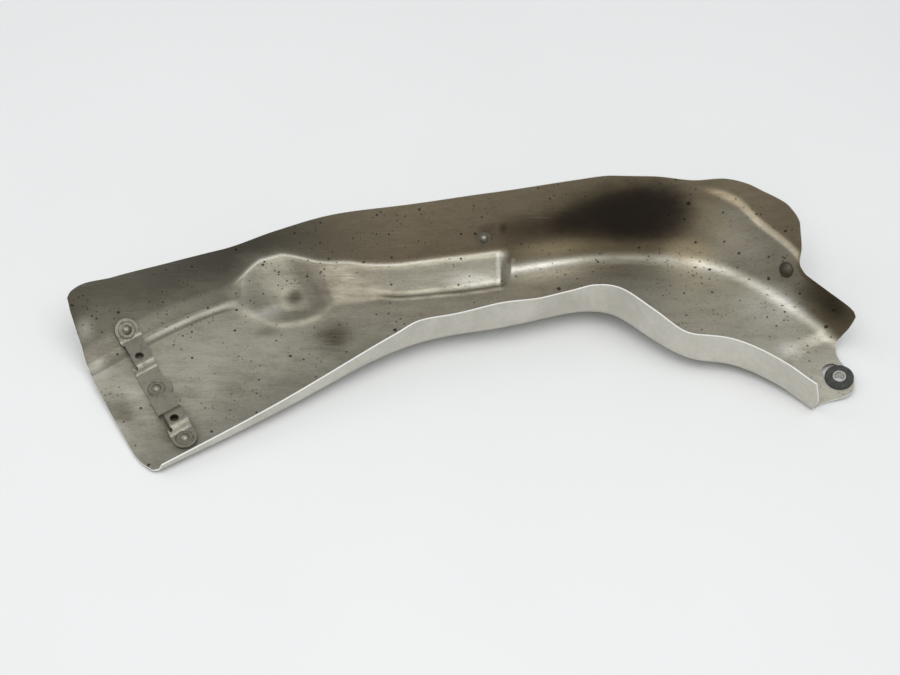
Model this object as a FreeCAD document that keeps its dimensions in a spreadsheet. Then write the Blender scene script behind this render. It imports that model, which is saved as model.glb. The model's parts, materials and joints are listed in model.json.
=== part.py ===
import FreeCAD, Part
import Sketcher
import math
import os
from FreeCAD import Placement, Rotation, Vector

# Pressed sheet-metal heat shield for a car engine bay, lying on its convex back with the hot face up.
# Millimetres. X runs along the shield, Z is up, and the origin is under the middle of the finished part.
#
# The sheet is drawn as sections. Station 0 lies beyond the left end and station 10 beyond the right one.
# Each section runs from the far rim down a leaning wall to the valley, over the floor to the foot, and up
# the near flange to its rim. Across is measured from the valley corner towards the foot.

# Guide rails of the pressing, by station.
VALLEY_FIELDS = ("x", "y", "z", "blend", "lean")
VALLEY = {
    0: (-262, -34, 4, 6, 0.95),
    1: (-205, 9, 5, 4.5, 1.02),
    2: (-145, 44, 4.5, 4.5, 0.65),
    3: (-70, 61, 2, 9, 0.63),
    4: (15, 72, 0, 13, 0.56),
    5: (70, 83, 0.5, 18, 0.42),
    6: (115, 86, 1.5, 20, 0.37),
    7: (158, 77, 3, 16, 0.54),
    8: (194, 54, 5, 12, 0.57),
    9: (229, 18, 7, 8, 0.37),
    10: (260, -16, 8, 8, 0.33),
}
FOOT_FIELDS = ("x", "y", "z", "blend", "sag")
FOOT = {
    0: (-219, -107, 1, 6, 1.5),
    1: (-160, -73, 2.5, 7, 1.8),
    2: (-102, -38, 5, 8, 2),
    3: (-43, -2, 9, 7, 1.5),
    3.5: (-14, 9.5, 10, 5, 1.2),
    4: (17, 15, 11.5, 4.5, 1),
    5: (66, 28, 12, 4, 0.7),
    5.5: (82, 29.5, 12, 4, 0.6),
    6: (97, 25, 12, 4, 0.5),
    6.5: (112, 13, 11, 4, 0.4),
    7: (129, 0, 9.5, 4, 0.3),
    7.5: (145, -6.5, 7.5, 4, 0.3),
    8: (162, -8, 6, 4, 0.2),
    9: (196, -24, 3, 4, 0.1),
    10: (226, -49, 1, 4, 0),
}

# The clearance shelf pressed up in the valley: an oval boss, a soft neck and a long step with a sharp end.
SHELF_FIELDS = ("wall_height", "edge_run", "edge_height", "foot_run")
SHELF = {
    1.88: (8, 0, 0, 10),
    1.97: (9.2, 2.5, 1, 14),
    2.06: (11.9, 8.4, 3.1, 19.4),
    2.15: (15.3, 14.6, 5.5, 24.2),
    2.24: (18.7, 19.6, 7.5, 27.6),
    2.33: (21.2, 22.2, 8.5, 29.1),
    2.42: (22.2, 22.6, 8.7, 29.2),
    2.51: (21.5, 21, 8, 28),
    2.6: (19.5, 17.6, 6.8, 25.3),
    2.69: (17, 13.6, 5.3, 21.4),
    2.78: (14.9, 10.6, 4.3, 18),
    2.87: (13.9, 9.6, 4.3, 16.4),
    2.97: (13.3, 10, 4.8, 16),
    3.12: (10.9, 12, 3.8, 16),
    3.3: (9.7, 14.8, 3.8, 17.5),
    3.75: (11.5, 14.5, 4.5, 17.5),
    4.12: (12.5, 13.5, 4.8, 17),
    4.245: (12.5, 0, 0, 14),
    4.3: (12.5, 0, 0, 14),
}

# Outline of the blank: rim heights by station, with the lobe and the notch at the right of the far rim.
FAR_RIM = {
    0.5: 30, 0.54: 32, 0.6: 34.2, 0.68: 34.7, 1: 31.7, 1.5: 30, 2: 31, 2.5: 36.6, 3: 42, 3.4: 43.6,
    4: 48.3, 5: 53.5, 5.5: 56.3, 6: 55.6, 6.6: 52, 7: 53, 7.3: 52.4, 7.6: 50.9, 7.9: 50.6, 8.05: 48.8,
    8.16: 46, 8.22: 41, 8.3: 33.5, 8.33: 28, 8.39: 24.4, 8.5: 22.6, 9.2: 23.6, 9.3: 23.3,
}
NEAR_RIM = {
    0.4: 3, 1: 6.5, 2: 12, 2.5: 15.2, 3: 20.3, 3.25: 24.6, 3.6: 22.7, 4.1: 26.3, 4.6: 22.8, 5: 23.6,
    5.5: 27.8, 6.3: 31, 6.7: 30.2, 7.25: 25.7, 7.7: 27.4, 8.5: 26.6, 9.2: 26, 10: 26.5,
}
JOGGLE_LINE = {6.4: 50, 6.83: 45.6, 7.25: 41, 7.67: 33.5, 8.2: 30, 8.35: 28}

# Ends of the blank: station by share of the girth (-1 far rim, 0 valley, 1 foot, 2 near rim).
LEFT_END = {
    -1: 0.55, -0.9: 0.53, -0.68: 0.505, -0.28: 0.488, 0: 0.485, 0.37: 0.472, 0.65: 0.468, 0.78: 0.47,
    0.85: 0.486, 0.9: 0.52, 0.95: 0.56, 1: 0.59, 2: 0.62,
}
RIGHT_END = {
    -1: 9.27, -0.9: 9.32, -0.55: 9.29, -0.25: 9.24, 0: 9.214, 0.074: 9.243, 0.132: 9.297, 0.18: 9.405,
    0.207: 9.53, 0.235: 9.668, 0.306: 9.807, 0.37: 9.859, 0.453: 9.875, 0.555: 9.849, 0.734: 9.734,
    0.9: 9.65, 1: 9.63, 1.4: 9.7, 2: 9.62,
}

SIZES = {
    "sheet_thickness": 1.0,
    "flange_lean": 0.04,
    "shelf_blend": 4,
    "shelf_edge_blend": 3.5,
    "joggle_depth": 2.5,
    "joggle_ramp": 6,
    "lug_step_depth": 2.4,
    "lug_step_radius": 32,
    "lug_step_ramp": 12,
    "dent_depth": 1.2,
    "dent_radius": 10,
    "strap_thickness": 1.2,
    "strap_width": 15,
    "strap_foot_radius": 7.5,
    "pad_width": 12.5,
    "pad_lift": 3.6,
    "pad_hole_diameter": 5.5,
    "strap_bend": 1.6,
    "strap_lobe": 1.8,
    "relief_radius": 1.3,
    "pad_1_end": 17.5,
    "foot_2_start": 21,
    "foot_2_end": 56.5,
    "pad_2_start": 59.5,
    "pad_2_end": 69.5,
    "foot_3_start": 73.5,
    "foot_1_rivet": 11.7,
    "pad_1_hole": 11.5,
    "foot_2_rivet": 37,
    "pad_2_hole": 64.9,
    "foot_3_rivet": 79.8,
    "seat_clearance": 0.2,
    "hole_clearance": 0.1,
    "rivet_slack": 0.4,
    "strap_rivet_shank": 3.2,
    "strap_rivet_dome": 6.4,
    "strap_rivet_dome_height": 1.7,
    "strap_rivet_flange": 9,
    "wall_rivet_shank": 3.2,
    "wall_rivet_dome": 5.6,
    "wall_rivet_dome_height": 1.6,
    "wall_rivet_flange": 6.6,
    "washer_diameter": 9.2,
    "washer_thickness": 0.8,
    "end_rivet_shank": 4.8,
    "end_rivet_dome": 9.6,
    "end_rivet_dome_height": 2.8,
    "end_rivet_flange": 10.2,
    "rivet_flange_thickness": 0.5,
    "rivet_tail_height": 0.6,
    "rivet_tail_overhang": 1.2,
    "wall_rivet_height": 21.7,
    "end_rivet_height": 17.9,
    "lug_across": 20,
    "slot_width": 12.6,
    "slot_run": 6,
    "grommet_diameter": 18,
    "grommet_neck": 12.2,
    "grommet_lip": 1.6,
    "grommet_under_lip": 2,
    "grommet_edge": 0.7,
    "grommet_slack": 0.3,
    "sleeve_diameter": 8.2,
    "sleeve_bore": 6.6,
    "sleeve_stand": 0.4,
}

# Stations of the pieces that sit on the sheet.
STRAP_STATION = 0.93
WALL_RIVET_STATION = 3.98
END_RIVET_STATION = 8.21
LUG_STATION = 9.585
DENT_STATION, DENT_ACROSS = 0.62, 36

# Rails of the sheet. Rows go from rim to rim, straight runs and bends by turns, with so many strips in each.
# Columns go by zones that end at a station: the left end, the boss, the neck, the long step, its end, the
# bend and the notch.
STRIPS = (3, 2, 1, 4, 1, 2, 4, 2, 1)
LAST_ROW = 9.0
LEFT_ZONE = (1.2, 5)
MIDDLE_ZONES = ((1.9, 4), (2.8, 10), (3.3, 4), (4.07, 4), (4.3, 5), (8, 12), (8.5, 8), (8.9, 2))
RIGHT_ZONE_COLUMNS = 7
DEGREE = 3

# Lengths of the cutters, which only have to reach through.
DRILL_LENGTH = 12
FOOT_PRISM = 8
STRAP_SPARE = 2


def fill_sheet(doc):
    """Write every driving dimension into the spreadsheet, one alias each."""
    sheet = doc.addObject("Spreadsheet::Sheet", "Sizes")
    values = dict(SIZES)
    for name, fields, rows in (("valley", VALLEY_FIELDS, VALLEY), ("foot", FOOT_FIELDS, FOOT),
                               ("shelf", SHELF_FIELDS, SHELF)):
        for number, row in enumerate(rows.values()):
            for field, value in zip(fields, row):
                values[f"{name}_{field}_{number}"] = value
    for name, rows in (("far_rim", FAR_RIM), ("near_rim", NEAR_RIM), ("joggle_line", JOGGLE_LINE)):
        for number, value in enumerate(rows.values()):
            values[f"{name}_{number}"] = value
    for number, (alias, value) in enumerate(values.items(), start=1):
        sheet.set(f"A{number}", alias)
        sheet.set(f"B{number}", str(value))
        sheet.setAlias(f"B{number}", alias)
    doc.recompute()
    return sheet


def mix(start, end, share):
    """Point or number at a share of the way from start to end."""
    return start + (end - start) * share


def ease(share):
    """Smooth step from 0 to 1."""
    share = min(max(share, 0.0), 1.0)
    return share ** 3 * (10 - 15 * share + 6 * share ** 2)


def fair_rail(stations, values):
    """Natural cubic spline through values at the stations."""
    count = len(stations)
    gaps = [stations[i + 1] - stations[i] for i in range(count - 1)]
    upper, right = [0.0] * count, [0.0] * count
    for i in range(1, count - 1):
        pivot = 2 * (gaps[i - 1] + gaps[i]) - gaps[i - 1] * upper[i - 1]
        turn = (values[i + 1] - values[i]) / gaps[i] - (values[i] - values[i - 1]) / gaps[i - 1]
        upper[i] = gaps[i] / pivot
        right[i] = (6 * turn - gaps[i - 1] * right[i - 1]) / pivot
    bends = [0.0] * count
    for i in range(count - 2, 0, -1):
        bends[i] = right[i] - upper[i] * bends[i + 1]

    def at(station):
        i = span(stations, station)
        share = (station - stations[i]) / gaps[i]
        rest = 1 - share
        curl = (rest ** 3 - rest) * bends[i] + (share ** 3 - share) * bends[i + 1]
        return rest * values[i] + share * values[i + 1] + curl * gaps[i] ** 2 / 6
    return at


def span(stations, station):
    """Number of the gap between stations that holds a station."""
    i = 0
    while i < len(stations) - 2 and station > stations[i + 1]:
        i += 1
    return i


def outline_rail(stations, values):
    """Monotone cubic through the values, which never overshoots them."""
    chords = [(values[i + 1] - values[i]) / (stations[i + 1] - stations[i]) for i in range(len(values) - 1)]
    slopes = [chords[0]]
    for before, after in zip(chords, chords[1:]):
        slopes.append(0.0 if before * after <= 0 else 2 * before * after / (before + after))
    slopes.append(chords[-1])

    def at(station):
        station = min(max(station, stations[0]), stations[-1])
        i = span(stations, station)
        gap = stations[i + 1] - stations[i]
        share = (station - stations[i]) / gap
        rest = 1 - share
        ends = rest ** 2 * (1 + 2 * share) * values[i] + share ** 2 * (1 + 2 * rest) * values[i + 1]
        return ends + gap * share * rest * (rest * slopes[i] - share * slopes[i + 1])
    return at


class Pressing:
    """The hot face of the sheet as a formula of the station and the row round the section."""

    def __init__(self, sheet):
        self.size = {alias: float(sheet.get(alias)) for alias in SIZES}
        self.rails = {}
        for name, fields, rows, kind in (("valley", VALLEY_FIELDS, VALLEY, fair_rail),
                                         ("foot", FOOT_FIELDS, FOOT, fair_rail),
                                         ("shelf", SHELF_FIELDS, SHELF, outline_rail)):
            for field in fields:
                values = [float(sheet.get(f"{name}_{field}_{i}")) for i in range(len(rows))]
                self.rails[f"{name}_{field}"] = kind(list(rows), values)
        for name, rows in (("far_rim", FAR_RIM), ("near_rim", NEAR_RIM), ("joggle_line", JOGGLE_LINE)):
            values = [float(sheet.get(f"{name}_{i}")) for i in range(len(rows))]
            self.rails[name] = outline_rail(list(rows), values)
        self.left_end = outline_rail(list(LEFT_END), list(LEFT_END.values()))
        self.right_end = outline_rail(list(RIGHT_END), list(RIGHT_END.values()))
        self.sections = {}
        self.lug = None
        self.dent = None
        self.dent = self.plain_point(DENT_STATION, DENT_ACROSS)
        self.lug = self.plain_point(LUG_STATION, self.size["lug_across"])

    def section(self, station):
        """Corner points, bend lengths and frame of the section at a station."""
        if station not in self.sections:
            at = {name: rail(station) for name, rail in self.rails.items()}
            size = self.size
            run = Vector(at["foot_x"] - at["valley_x"], at["foot_y"] - at["valley_y"], 0)
            width = run.Length
            slope = (at["foot_z"] - at["valley_z"]) / width
            shelf = ease(at["shelf_edge_run"] / (2 * size["shelf_blend"]))
            rise = min(max(at["shelf_wall_height"], 1.0), 0.6 * at["far_rim"])
            edge, root = at["shelf_edge_run"], at["shelf_foot_run"]
            corners = [(-at["valley_lean"] * at["far_rim"], at["far_rim"]),
                       (-at["valley_lean"] * rise, rise),
                       (edge, at["shelf_edge_height"] + slope * edge),
                       (root, slope * root),
                       (width, slope * width),
                       (width + size["flange_lean"] * at["near_rim"], slope * width + at["near_rim"])]
            runs = [math.dist(corners[i], corners[i + 1]) for i in range(5)]
            bends = [0, size["shelf_blend"], mix(at["valley_blend"], size["shelf_edge_blend"], shelf),
                     size["shelf_blend"], at["foot_blend"], 0]
            for i in range(1, 5):
                bends[i] = min(bends[i], 0.48 * runs[i - 1], 0.48 * runs[i])
            self.sections[station] = dict(at, corners=corners, runs=runs, bends=bends, width=width,
                                          slope=slope, across=run / width)
        return self.sections[station]

    def flat_point(self, section, row):
        """Across and height of the rounded section at a row, 0 to 9. Odd rows are bends."""
        leg = min(int(row), 8)
        share = row - leg
        corners, runs, bends = section["corners"], section["runs"], section["bends"]

        def beside(corner, other):
            near = bends[corner] / runs[min(corner, other)]
            return [mix(corners[corner][axis], corners[other][axis], near) for axis in (0, 1)]
        if leg % 2 == 0:
            start, end = beside(leg // 2, leg // 2 + 1), beside(leg // 2 + 1, leg // 2)
            if leg == 0:
                share = self.wall_share(section, end[1], share)
            return [mix(start[axis], end[axis], share) for axis in (0, 1)]
        corner = (leg + 1) // 2
        start, end = beside(corner, corner - 1), beside(corner, corner + 1)
        return [(1 - share) ** 2 * start[axis] + 2 * share * (1 - share) * corners[corner][axis]
                + share ** 2 * end[axis] for axis in (0, 1)]

    def wall_share(self, section, low, share):
        """Share down the upper wall. Its inner rows run along the top and the foot of the joggle."""
        rim, ramp = section["far_rim"], self.size["joggle_ramp"]
        top = min(section["joggle_line"] + ramp / 2, mix(rim, low, 0.25))
        foot = min(section["joggle_line"] - ramp / 2, mix(rim, low, 0.6))
        heights = (rim, top, foot, low)
        step = min(int(share * 3), 2)
        height = mix(heights[step], heights[step + 1], share * 3 - step)
        return (rim - height) / (rim - low)

    def place(self, station, across, height):
        """Point in space of a place in a section, with the sag, the joggle, the lug's step and the dent."""
        section, size = self.section(station), self.size
        share = min(max(across / section["width"], 0), 1)
        height -= 6.75 * section["foot_sag"] * share ** 2 * (1 - share)
        if across < 0:
            lean = math.hypot(1, section["valley_lean"])
            above = (height - section["joggle_line"]) / size["joggle_ramp"] + 0.5
            set_back = size["joggle_depth"] * ease(above) * ease((station - 6.5) / 0.6)
            across -= set_back / lean
            height -= set_back * section["valley_lean"] / lean
        point = Vector(section["valley_x"], section["valley_y"], section["valley_z"] + height)
        point += section["across"] * across
        if self.lug:
            inside = size["lug_step_radius"] - math.hypot(point.x - self.lug.x, point.y - self.lug.y)
            point.z -= size["lug_step_depth"] * ease(inside / size["lug_step_ramp"] + 0.5)
        if self.dent:
            away = math.hypot(point.x - self.dent.x, point.y - self.dent.y) / size["dent_radius"]
            point.z -= size["dent_depth"] * math.exp(-away ** 2)
        return point

    def point(self, station, row):
        """Point of the hot face."""
        return self.place(station, *self.flat_point(self.section(station), row))

    def plain_point(self, station, across):
        """Point of the hot face away from the bends: on the wall where across is negative."""
        section = self.section(station)
        if across < 0:
            return self.place(station, across, -across / section["valley_lean"])
        return self.place(station, across, section["slope"] * across)

    def seat(self, station, across):
        """Frame on the hot face: Z along its normal, X along the shield."""
        small = 0.01
        middle = self.plain_point(station, across)
        along = self.plain_point(station + small, across) - self.plain_point(station - small, across)
        over = self.plain_point(station, across + small) - self.plain_point(station, across - small)
        normal = over.cross(along)
        return Placement(middle, Rotation(along, Vector(), normal, "ZXY"))

    def wall_across(self, station, height):
        """Across of a place on the wall that stands so high above the valley."""
        return -height * self.section(station)["valley_lean"]

    def foot_1_across(self):
        """Across of the strap's rivet on the wall, from its distance up the slope."""
        lean = self.section(STRAP_STATION)["valley_lean"]
        return -self.size["foot_1_rivet"] * lean / math.hypot(1, lean)

    def station_length(self, station):
        """Millimetres along the valley for one station."""
        small = 0.05
        run = self.plain_point(station + small, 0) - self.plain_point(station - small, 0)
        return run.Length / (2 * small)

    def girth_share(self, row):
        """Share of the girth at a row, read where the section is plain."""
        section = self.section(MIDDLE_ZONES[-1][0])
        runs, bends = section["runs"], section["bends"]
        marks, reached = [0.0], 0.0
        for leg, run in enumerate(runs):
            if leg:
                marks.append(reached + bends[leg])
            marks.append(reached + run - bends[leg + 1])
            reached += run
        leg = min(int(row), 8)
        length = mix(marks[leg], marks[leg + 1], row - leg)
        wall, floor = runs[0] + runs[1], runs[2] + runs[3]
        if length < wall:
            return length / wall - 1
        if length < wall + floor:
            return (length - wall) / floor
        return 1 + (length - wall - floor) / runs[4]

    def stations(self, row):
        """Stations of the control net along a row, which start and end on the blank's outline."""
        share = self.girth_share(row)
        start, stations = self.left_end(share), []
        for end, count in (LEFT_ZONE,) + MIDDLE_ZONES + ((self.right_end(share), RIGHT_ZONE_COLUMNS),):
            stations += [mix(start, end, i / count) for i in range(count)]
            start = end
        return stations + [start]

    def net(self, depth):
        """Control net of the face that lies depth below the hot face."""
        rows = [leg + part / parts for leg, parts in enumerate(STRIPS) for part in range(parts)] + [LAST_ROW]
        return [[self.below(station, row, depth) for station in self.stations(row)] for row in rows]

    def below(self, station, row, depth):
        """Point that lies depth under the hot face, along its normal."""
        small = 0.004
        point = self.point(station, row)
        if depth:
            over = self.point(station, min(row + small, 9)) - self.point(station, max(row - small, 0))
            along = self.point(station + small, row) - self.point(station - small, row)
            point -= over.cross(along).normalize() * depth
        return point


def strip(near, far):
    """Ruled face between two rails or two straight edges, each given by its control points."""
    degree = min(DEGREE, len(near) - 1)
    knots = list(range(len(near) - degree + 1))
    times = [degree + 1] + [1] * (len(knots) - 2) + [degree + 1]
    surface = Part.BSplineSurface()
    surface.buildFromPolesMultsKnots([near, far], [2, 2], times, [0, 1], knots, False, False, 1, degree)
    return surface.toShape()


def make_pressing(doc, pressing):
    """The trimmed sheet before its holes: hot face, cold face and the cut edges all round."""
    hot, cold = pressing.net(0), pressing.net(pressing.size["sheet_thickness"])
    faces = [strip(hot[0], cold[0]), strip(hot[-1], cold[-1])]
    for net in (hot, cold):
        faces += [strip(rail, next_rail) for rail, next_rail in zip(net, net[1:])]
    for end in (0, -1):
        for row in range(len(hot) - 1):
            faces.append(strip([hot[row][end], hot[row + 1][end]], [cold[row][end], cold[row + 1][end]]))
    shell = Part.makeShell(faces)
    shell.sewShape()
    solid = Part.Solid(shell)
    if solid.Volume < 0:
        solid.reverse()
    feature = doc.addObject("Part::Feature", "Pressing")
    feature.Shape = solid
    return feature


def measure(size, terms):
    """Value of a sum of sizes, given as a factor for each alias."""
    return sum(factor * size[alias] for alias, factor in terms.items())


def formula(terms):
    """The same sum as an expression of the spreadsheet."""
    return " + ".join(f"{factor} * Sizes.{alias}" for alias, factor in terms.items())


def add(*sums):
    """Sum of several sums of sizes."""
    total = {}
    for terms in sums:
        for alias, factor in terms.items():
            total[alias] = total.get(alias, 0) + factor
    return total


def make_turned(doc, size, name, profile, domed=False):
    """Turned piece: a sketch of radii and heights spun round Z. A domed one ends in an arc up to the axis."""
    body = doc.addObject("PartDesign::Body", name)
    sketch = body.newObject("Sketcher::SketchObject", f"{name}Profile")
    plane = [plane for plane in body.Origin.OriginFeatures if plane.Role == "XZ_Plane"][0]
    sketch.AttachmentSupport = (plane, "")
    sketch.MapMode = "FlatFace"
    points = [Vector(measure(size, radius), measure(size, height), 0) for radius, height in profile]
    count = len(points)
    for i, point in enumerate(points):
        following = points[(i + 1) % count]
        if domed and i == count - 2:
            rise, half = following.y - point.y, point.x
            drop = (half ** 2 - rise ** 2) / (2 * rise)
            reach = math.hypot(half, drop)
            circle = Part.Circle(Vector(0, point.y - drop, 0), Vector(0, 0, 1), reach)
            sketch.addGeometry(Part.ArcOfCircle(circle, math.atan2(drop, half), math.pi / 2))
        else:
            sketch.addGeometry(Part.LineSegment(point, following))
    for i, (radius, height) in enumerate(profile):
        before = (i - 1) % count
        sketch.addConstraint(Sketcher.Constraint("Coincident", before, 2, i, 1))
        for kind, terms, axis in (("DistanceX", radius, -2), ("DistanceY", height, -1)):
            if terms:
                value = measure(size, terms)
                number = sketch.addConstraint(Sketcher.Constraint(kind, -1, 1, i, 1, value))
                sketch.setExpression(f"Constraints[{number}]", formula(terms))
            else:
                sketch.addConstraint(Sketcher.Constraint("PointOnObject", i, 1, axis))
    if domed:
        sketch.addConstraint(Sketcher.Constraint("PointOnObject", count - 2, 3, -2))
    doc.recompute()
    turning = body.newObject("PartDesign::Revolution", f"{name}Turning")
    turning.Profile = sketch
    turning.ReferenceAxis = (sketch, ["V_Axis"])
    turning.Angle = 360
    doc.recompute()
    return body


def make_rivet(doc, size, name, kind, grip):
    """Rivet with its tail at the bottom. The grip is the stack that it holds together."""
    tail = {"rivet_tail_height": 1}
    seat = add(tail, grip)
    brim = add(seat, {"rivet_flange_thickness": 1})
    shank, flange = {f"{kind}_shank": 0.5}, {f"{kind}_flange": 0.5}
    tail_radius = add(shank, {"rivet_tail_overhang": 1})
    profile = [({}, {}), (tail_radius, {}), (tail_radius, tail), (shank, tail), (shank, seat), (flange, seat),
               (flange, brim), ({f"{kind}_dome": 0.5}, brim), ({}, add(brim, {f"{kind}_dome_height": 1}))]
    return make_turned(doc, size, name, profile, domed=True)


def make_washer(doc, size):
    """Plain washer under the wall rivet's head."""
    inner = {"wall_rivet_shank": 0.5, "hole_clearance": 1}
    outer, top = {"washer_diameter": 0.5}, {"washer_thickness": 1}
    profile = [(inner, {}), (outer, {}), (outer, top), (inner, top)]
    return make_turned(doc, size, "WallRivetWasher", profile)


def make_grommet(doc, size):
    """Rubber ring with a groove for the sheet and bevelled lips."""
    outer, neck, inner = {"grommet_diameter": 0.5}, {"grommet_neck": 0.5}, {"sleeve_diameter": 0.5}
    bevel = {"grommet_edge": 1}
    inset = add(outer, {"grommet_edge": -1})
    low = {"grommet_under_lip": 1}
    high = add(low, {"sheet_thickness": 1, "grommet_slack": 1})
    top = add(high, {"grommet_lip": 1})
    profile = [(inner, {}), (inset, {}), (outer, bevel), (outer, low), (neck, low), (neck, high),
               (outer, high), (outer, add(top, {"grommet_edge": -1})), (inset, top), (inner, top)]
    return make_turned(doc, size, "RubberGrommet", profile)


def make_sleeve(doc, size):
    """Metal tube in the grommet, which stands a little proud at both ends."""
    inner, outer = {"sleeve_bore": 0.5}, {"sleeve_diameter": 0.5}
    rubber = {"grommet_under_lip": 1, "sheet_thickness": 1, "grommet_slack": 1, "grommet_lip": 1}
    length = add(rubber, {"sleeve_stand": 2})
    profile = [(inner, {}), (outer, {}), (outer, length), (inner, length)]
    return make_turned(doc, size, "BushSleeve", profile)


def raised(frame, height):
    """A seat moved along its normal."""
    return frame.multiply(Placement(Vector(0, 0, height), Rotation()))


def contact(frame, radius, shape):
    """Height over a seat at which a disc that comes down along the normal meets a shape."""
    core = Part.makeCylinder(radius, DRILL_LENGTH, Vector(0, 0, -DRILL_LENGTH / 2))
    core.Placement = frame
    under = shape.common(core)
    under.Placement = frame.inverse().multiply(under.Placement)
    return under.optimalBoundingBox(False, False).ZMax


def make_drill(doc, name, radius, frame):
    """Cutter for a round hole through the sheet at a seat."""
    drill = doc.addObject("Part::Cylinder", name)
    drill.setExpression("Radius", radius)
    drill.Height = DRILL_LENGTH
    drill.Placement = raised(frame, -DRILL_LENGTH / 2)
    return drill


def make_slot(doc, frame):
    """Cutter for the slot that takes the grommet: two round ends and the run between them."""
    ends = []
    for number, back in enumerate(("0", "-Sizes.slot_run")):
        end = doc.addObject("Part::Cylinder", f"SlotEnd{number}")
        end.setExpression("Radius", "Sizes.slot_width / 2")
        end.setExpression("Placement.Base.x", back)
        end.Height = DRILL_LENGTH
        ends.append(end)
    run = doc.addObject("Part::Box", "SlotRun")
    run.setExpression("Length", "Sizes.slot_run")
    run.setExpression("Width", "Sizes.slot_width")
    run.setExpression("Placement.Base.x", "-Sizes.slot_run")
    run.setExpression("Placement.Base.y", "-Sizes.slot_width / 2")
    run.Height = DRILL_LENGTH
    slot = doc.addObject("Part::MultiFuse", "Slot")
    slot.Shapes = ends + [run]
    slot.Placement = raised(frame, -DRILL_LENGTH / 2)
    return slot


def make_cut(doc, name, base, cutters):
    """A solid less its cutters."""
    tool = doc.addObject("Part::Compound", f"{name}Cutters")
    tool.Links = cutters
    cut = doc.addObject("Part::Cut", name)
    cut.Base = base
    cut.Tool = tool
    doc.recompute()
    return cut


def rounded_path(corners, radius):
    """Open polyline with each inner corner turned into a short bend."""
    path = [corners[0]]
    for before, corner, after in zip(corners, corners[1:], corners[2:]):
        start = corner + (before - corner).normalize() * radius
        end = corner + (after - corner).normalize() * radius
        path += [mix(mix(start, corner, t), mix(corner, end, t), t) for t in (0, 0.33, 0.67, 1)]
    return path + [corners[-1]]


def strap_section(pressing, frame, offset):
    """Closed outline of the strap's thickness in an upright plane: feet on the sheet, pads clear of it."""
    size = pressing.size
    station = STRAP_STATION + offset / pressing.station_length(STRAP_STATION)
    low, lift = size["seat_clearance"], size["pad_lift"]
    end_run = size["strap_foot_radius"] + STRAP_SPARE
    foot_1_end = pressing.foot_1_across() * (1 + end_run / size["foot_1_rivet"])
    stops = [(foot_1_end, low), (pressing.wall_across(station, lift), low), (size["pad_1_end"], lift),
             (size["foot_2_start"], low), (size["foot_2_rivet"], low), (size["foot_2_end"], low),
             (size["pad_2_start"], lift), (size["pad_2_end"], lift), (size["foot_3_start"], low),
             (size["foot_3_rivet"] + end_run, low)]
    corners = []
    for across, height in stops:
        corner = frame.inverse().multVec(raised(pressing.seat(station, across), height).Base)
        corners.append(Vector(offset, corner.y, corner.z))
    under = rounded_path(corners, size["strap_bend"])
    over = []
    for i, point in enumerate(under):
        run = under[min(i + 1, len(under) - 1)] - under[max(i - 1, 0)]
        over.append(point + run.cross(Vector(1, 0, 0)).normalize() * size["strap_thickness"])
    return Part.makePolygon(under + over[::-1] + [under[0]])


def strap_outline(pressing, frame, wall_frame):
    """Plan of the strap as an upright prism, with the round foot on the wall as a prism along its normal."""
    size = pressing.size
    half, reach = size["strap_width"] / 2, size["strap_foot_radius"]
    pad_left = half - size["pad_width"]
    wall = pressing.section(STRAP_STATION)["far_rim"]

    def block(start, end, left):
        return Part.makeBox(half - left, end - start, 2 * wall, Vector(left, -end, -wall))

    def round_end(across, along, radius):
        return Part.makeCylinder(radius, 2 * wall, Vector(along, -across, -wall))
    steps = [mix(size[start], size[end], 0.5) for start, end in (("pad_1_end", "foot_2_start"),
                                                                ("foot_2_end", "pad_2_start"),
                                                                ("pad_2_end", "foot_3_start"))]
    lobe, relief = size["strap_lobe"], size["relief_radius"]
    plan = block(-size["pad_lift"] - size["strap_bend"], steps[0], pad_left)
    plan = plan.multiFuse([block(steps[0], steps[1], -half), block(steps[1], steps[2], pad_left),
                           block(steps[2], size["foot_3_rivet"], -half),
                           round_end(size["foot_3_rivet"], 0, reach),
                           round_end(size["foot_2_rivet"], lobe, reach + lobe / 2)])
    reliefs = [round_end(across, pad_left - relief / 2, relief) for across in steps]
    plan = plan.cut(Part.makeCompound(reliefs))
    plan.Placement = frame
    foot = Part.makeCylinder(reach, FOOT_PRISM, Vector(0, 0, -FOOT_PRISM / 2))
    down = size["foot_1_rivet"] - size["pad_lift"]
    foot = foot.fuse(Part.makeBox(2 * half, down, FOOT_PRISM, Vector(-half, -down, -FOOT_PRISM / 2)))
    foot.Placement = wall_frame
    return plan.fuse(foot)


def make_strap(doc, pressing, panel):
    """Bent strap before its holes, let down until it rests on the sheet."""
    size = pressing.size
    section = pressing.section(STRAP_STATION)
    corner = Vector(section["valley_x"], section["valley_y"], section["valley_z"])
    along = section["across"].cross(Vector(0, 0, -1))
    frame = Placement(corner, Rotation(along, Vector(), Vector(0, 0, 1), "ZXY"))
    reach = size["strap_width"] / 2 + 2 * size["strap_lobe"]
    wires = [strap_section(pressing, frame, offset) for offset in (-reach, reach)]
    bent = Part.makeLoft(wires, True, True)
    bent.Placement = frame
    wall_frame = pressing.seat(STRAP_STATION, pressing.foot_1_across())
    shape = bent.common(strap_outline(pressing, frame, wall_frame))
    blank = doc.addObject("Part::Feature", "StrapBlank")
    blank.Shape = shape.Solids[0]
    gap = blank.Shape.distToShape(panel.Shape.common(strap_outline(pressing, frame, wall_frame)))[0]
    blank.Placement = Placement(Vector(0, 0, -gap), Rotation())
    return blank


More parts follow.
